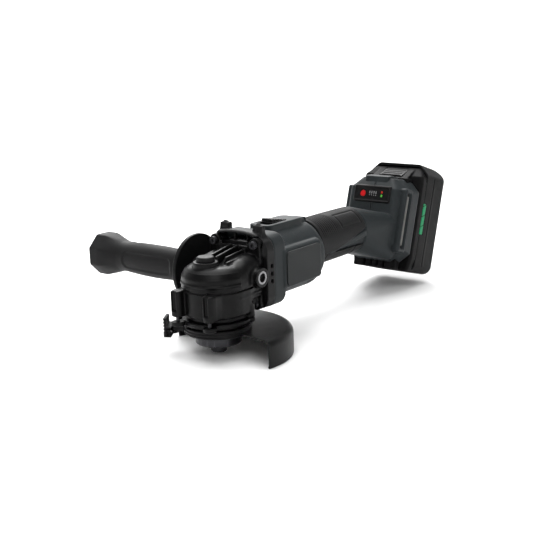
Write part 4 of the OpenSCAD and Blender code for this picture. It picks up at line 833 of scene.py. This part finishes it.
def sweep_floor():
    """A flat disc whose rim curves up: z = floor + RIM_RISE times (r beyond FLAT_R) squared, in metres."""
    rings = np.concatenate([np.linspace(0.001, FLAT_R, 12), np.linspace(1.4, 4.0, 14)])
    turn = np.linspace(0, 2 * math.pi, SPOKES, endpoint=False)
    r, a = np.meshgrid(rings, turn, indexing="ij")
    z = FLOOR_Z + RIM_RISE * np.clip(r - FLAT_R, 0, None) ** 2
    points = np.stack([r * np.cos(a), r * np.sin(a), z], -1).reshape(-1, 3)
    i, j = np.meshgrid(np.arange(len(rings) - 1), np.arange(SPOKES), indexing="ij")
    k = (j + 1) % SPOKES
    corners = [i * SPOKES + j, (i + 1) * SPOKES + j, (i + 1) * SPOKES + k, i * SPOKES + k]
    quads = np.stack(corners, -1).reshape(-1, 4)
    mesh = bpy.data.meshes.new("floor")
    mesh.from_pydata(points.tolist(), [], quads.tolist() + [list(range(SPOKES))])
    mesh.shade_smooth()
    return mesh


floor = bpy.data.objects.new("floor", sweep_floor())
bpy.context.collection.objects.link(floor)
floor_paint = bpy.data.materials.new("pale floor")
floor_paint.use_nodes = True
floor_shader = floor_paint.node_tree.nodes["Principled BSDF"]
floor_shader.inputs["Base Color"].default_value = (0.9, 0.9, 0.9, 1)
floor_shader.inputs["Roughness"].default_value = 0.9
floor_shader.inputs["Specular IOR Level"].default_value = 0.1
floor.data.materials.append(floor_paint)

bpy.context.scene.view_settings.view_transform = "Standard"
world = bpy.data.worlds.new("studio")
bpy.context.scene.world = world
world.use_nodes = True
world.node_tree.nodes["Background"].inputs["Color"].default_value = (1, 1, 1, 1)
world.node_tree.nodes["Background"].inputs["Strength"].default_value = 0.3


def area_light(name, place, aim, size, power):
    """A square softbox at place that looks at aim."""
    light = bpy.data.lights.new(name, "AREA")
    light.size = size
    light.energy = power
    holder = bpy.data.objects.new(name, light)
    bpy.context.collection.objects.link(holder)
    holder.location = place
    holder.rotation_euler = (Vector(aim) - Vector(place)).to_track_quat("-Z", "Y").to_euler()


TOOL_MIDDLE = (0.15, 0.0, 0.05)
area_light("key", (-1.0, -0.7, 1.5), TOOL_MIDDLE, 0.9, 11)
area_light("top", (0.2, 0.3, 1.9), TOOL_MIDDLE, 1.6, 48)
area_light("rim", (1.0, 1.3, 1.1), TOOL_MIDDLE, 0.8, 13)
area_light("far fill", (3.2, 2.6, 3.0), (3.6, 2.9, 0.0), 3.0, 260)

CAMERA_AT = (-0.6327, -0.5548, 0.2687)
AZIMUTH, ELEVATION, ROLL = (math.radians(v) for v in (-51.31, 14.03, -1.77))
camera = bpy.data.cameras.new("camera")
camera.sensor_width = 36
camera.lens = 66.1
camera.shift_x = 0.0150
camera.shift_y = 0.0193
camera_holder = bpy.data.objects.new("camera", camera)
bpy.context.collection.objects.link(camera_holder)
level = math.cos(ELEVATION)
back = Vector((math.sin(AZIMUTH) * level, -math.cos(AZIMUTH) * level, math.sin(ELEVATION)))
across = Vector((math.cos(AZIMUTH), math.sin(AZIMUTH), 0))
upward = back.cross(across)
right = math.cos(ROLL) * across + math.sin(ROLL) * upward
up = -math.sin(ROLL) * across + math.cos(ROLL) * upward
turn = Matrix((right, up, back)).transposed()
camera_holder.matrix_world = Matrix.Translation(CAMERA_AT) @ turn.to_4x4()
bpy.context.scene.camera = camera_holder

bpy.context.view_layer.update()
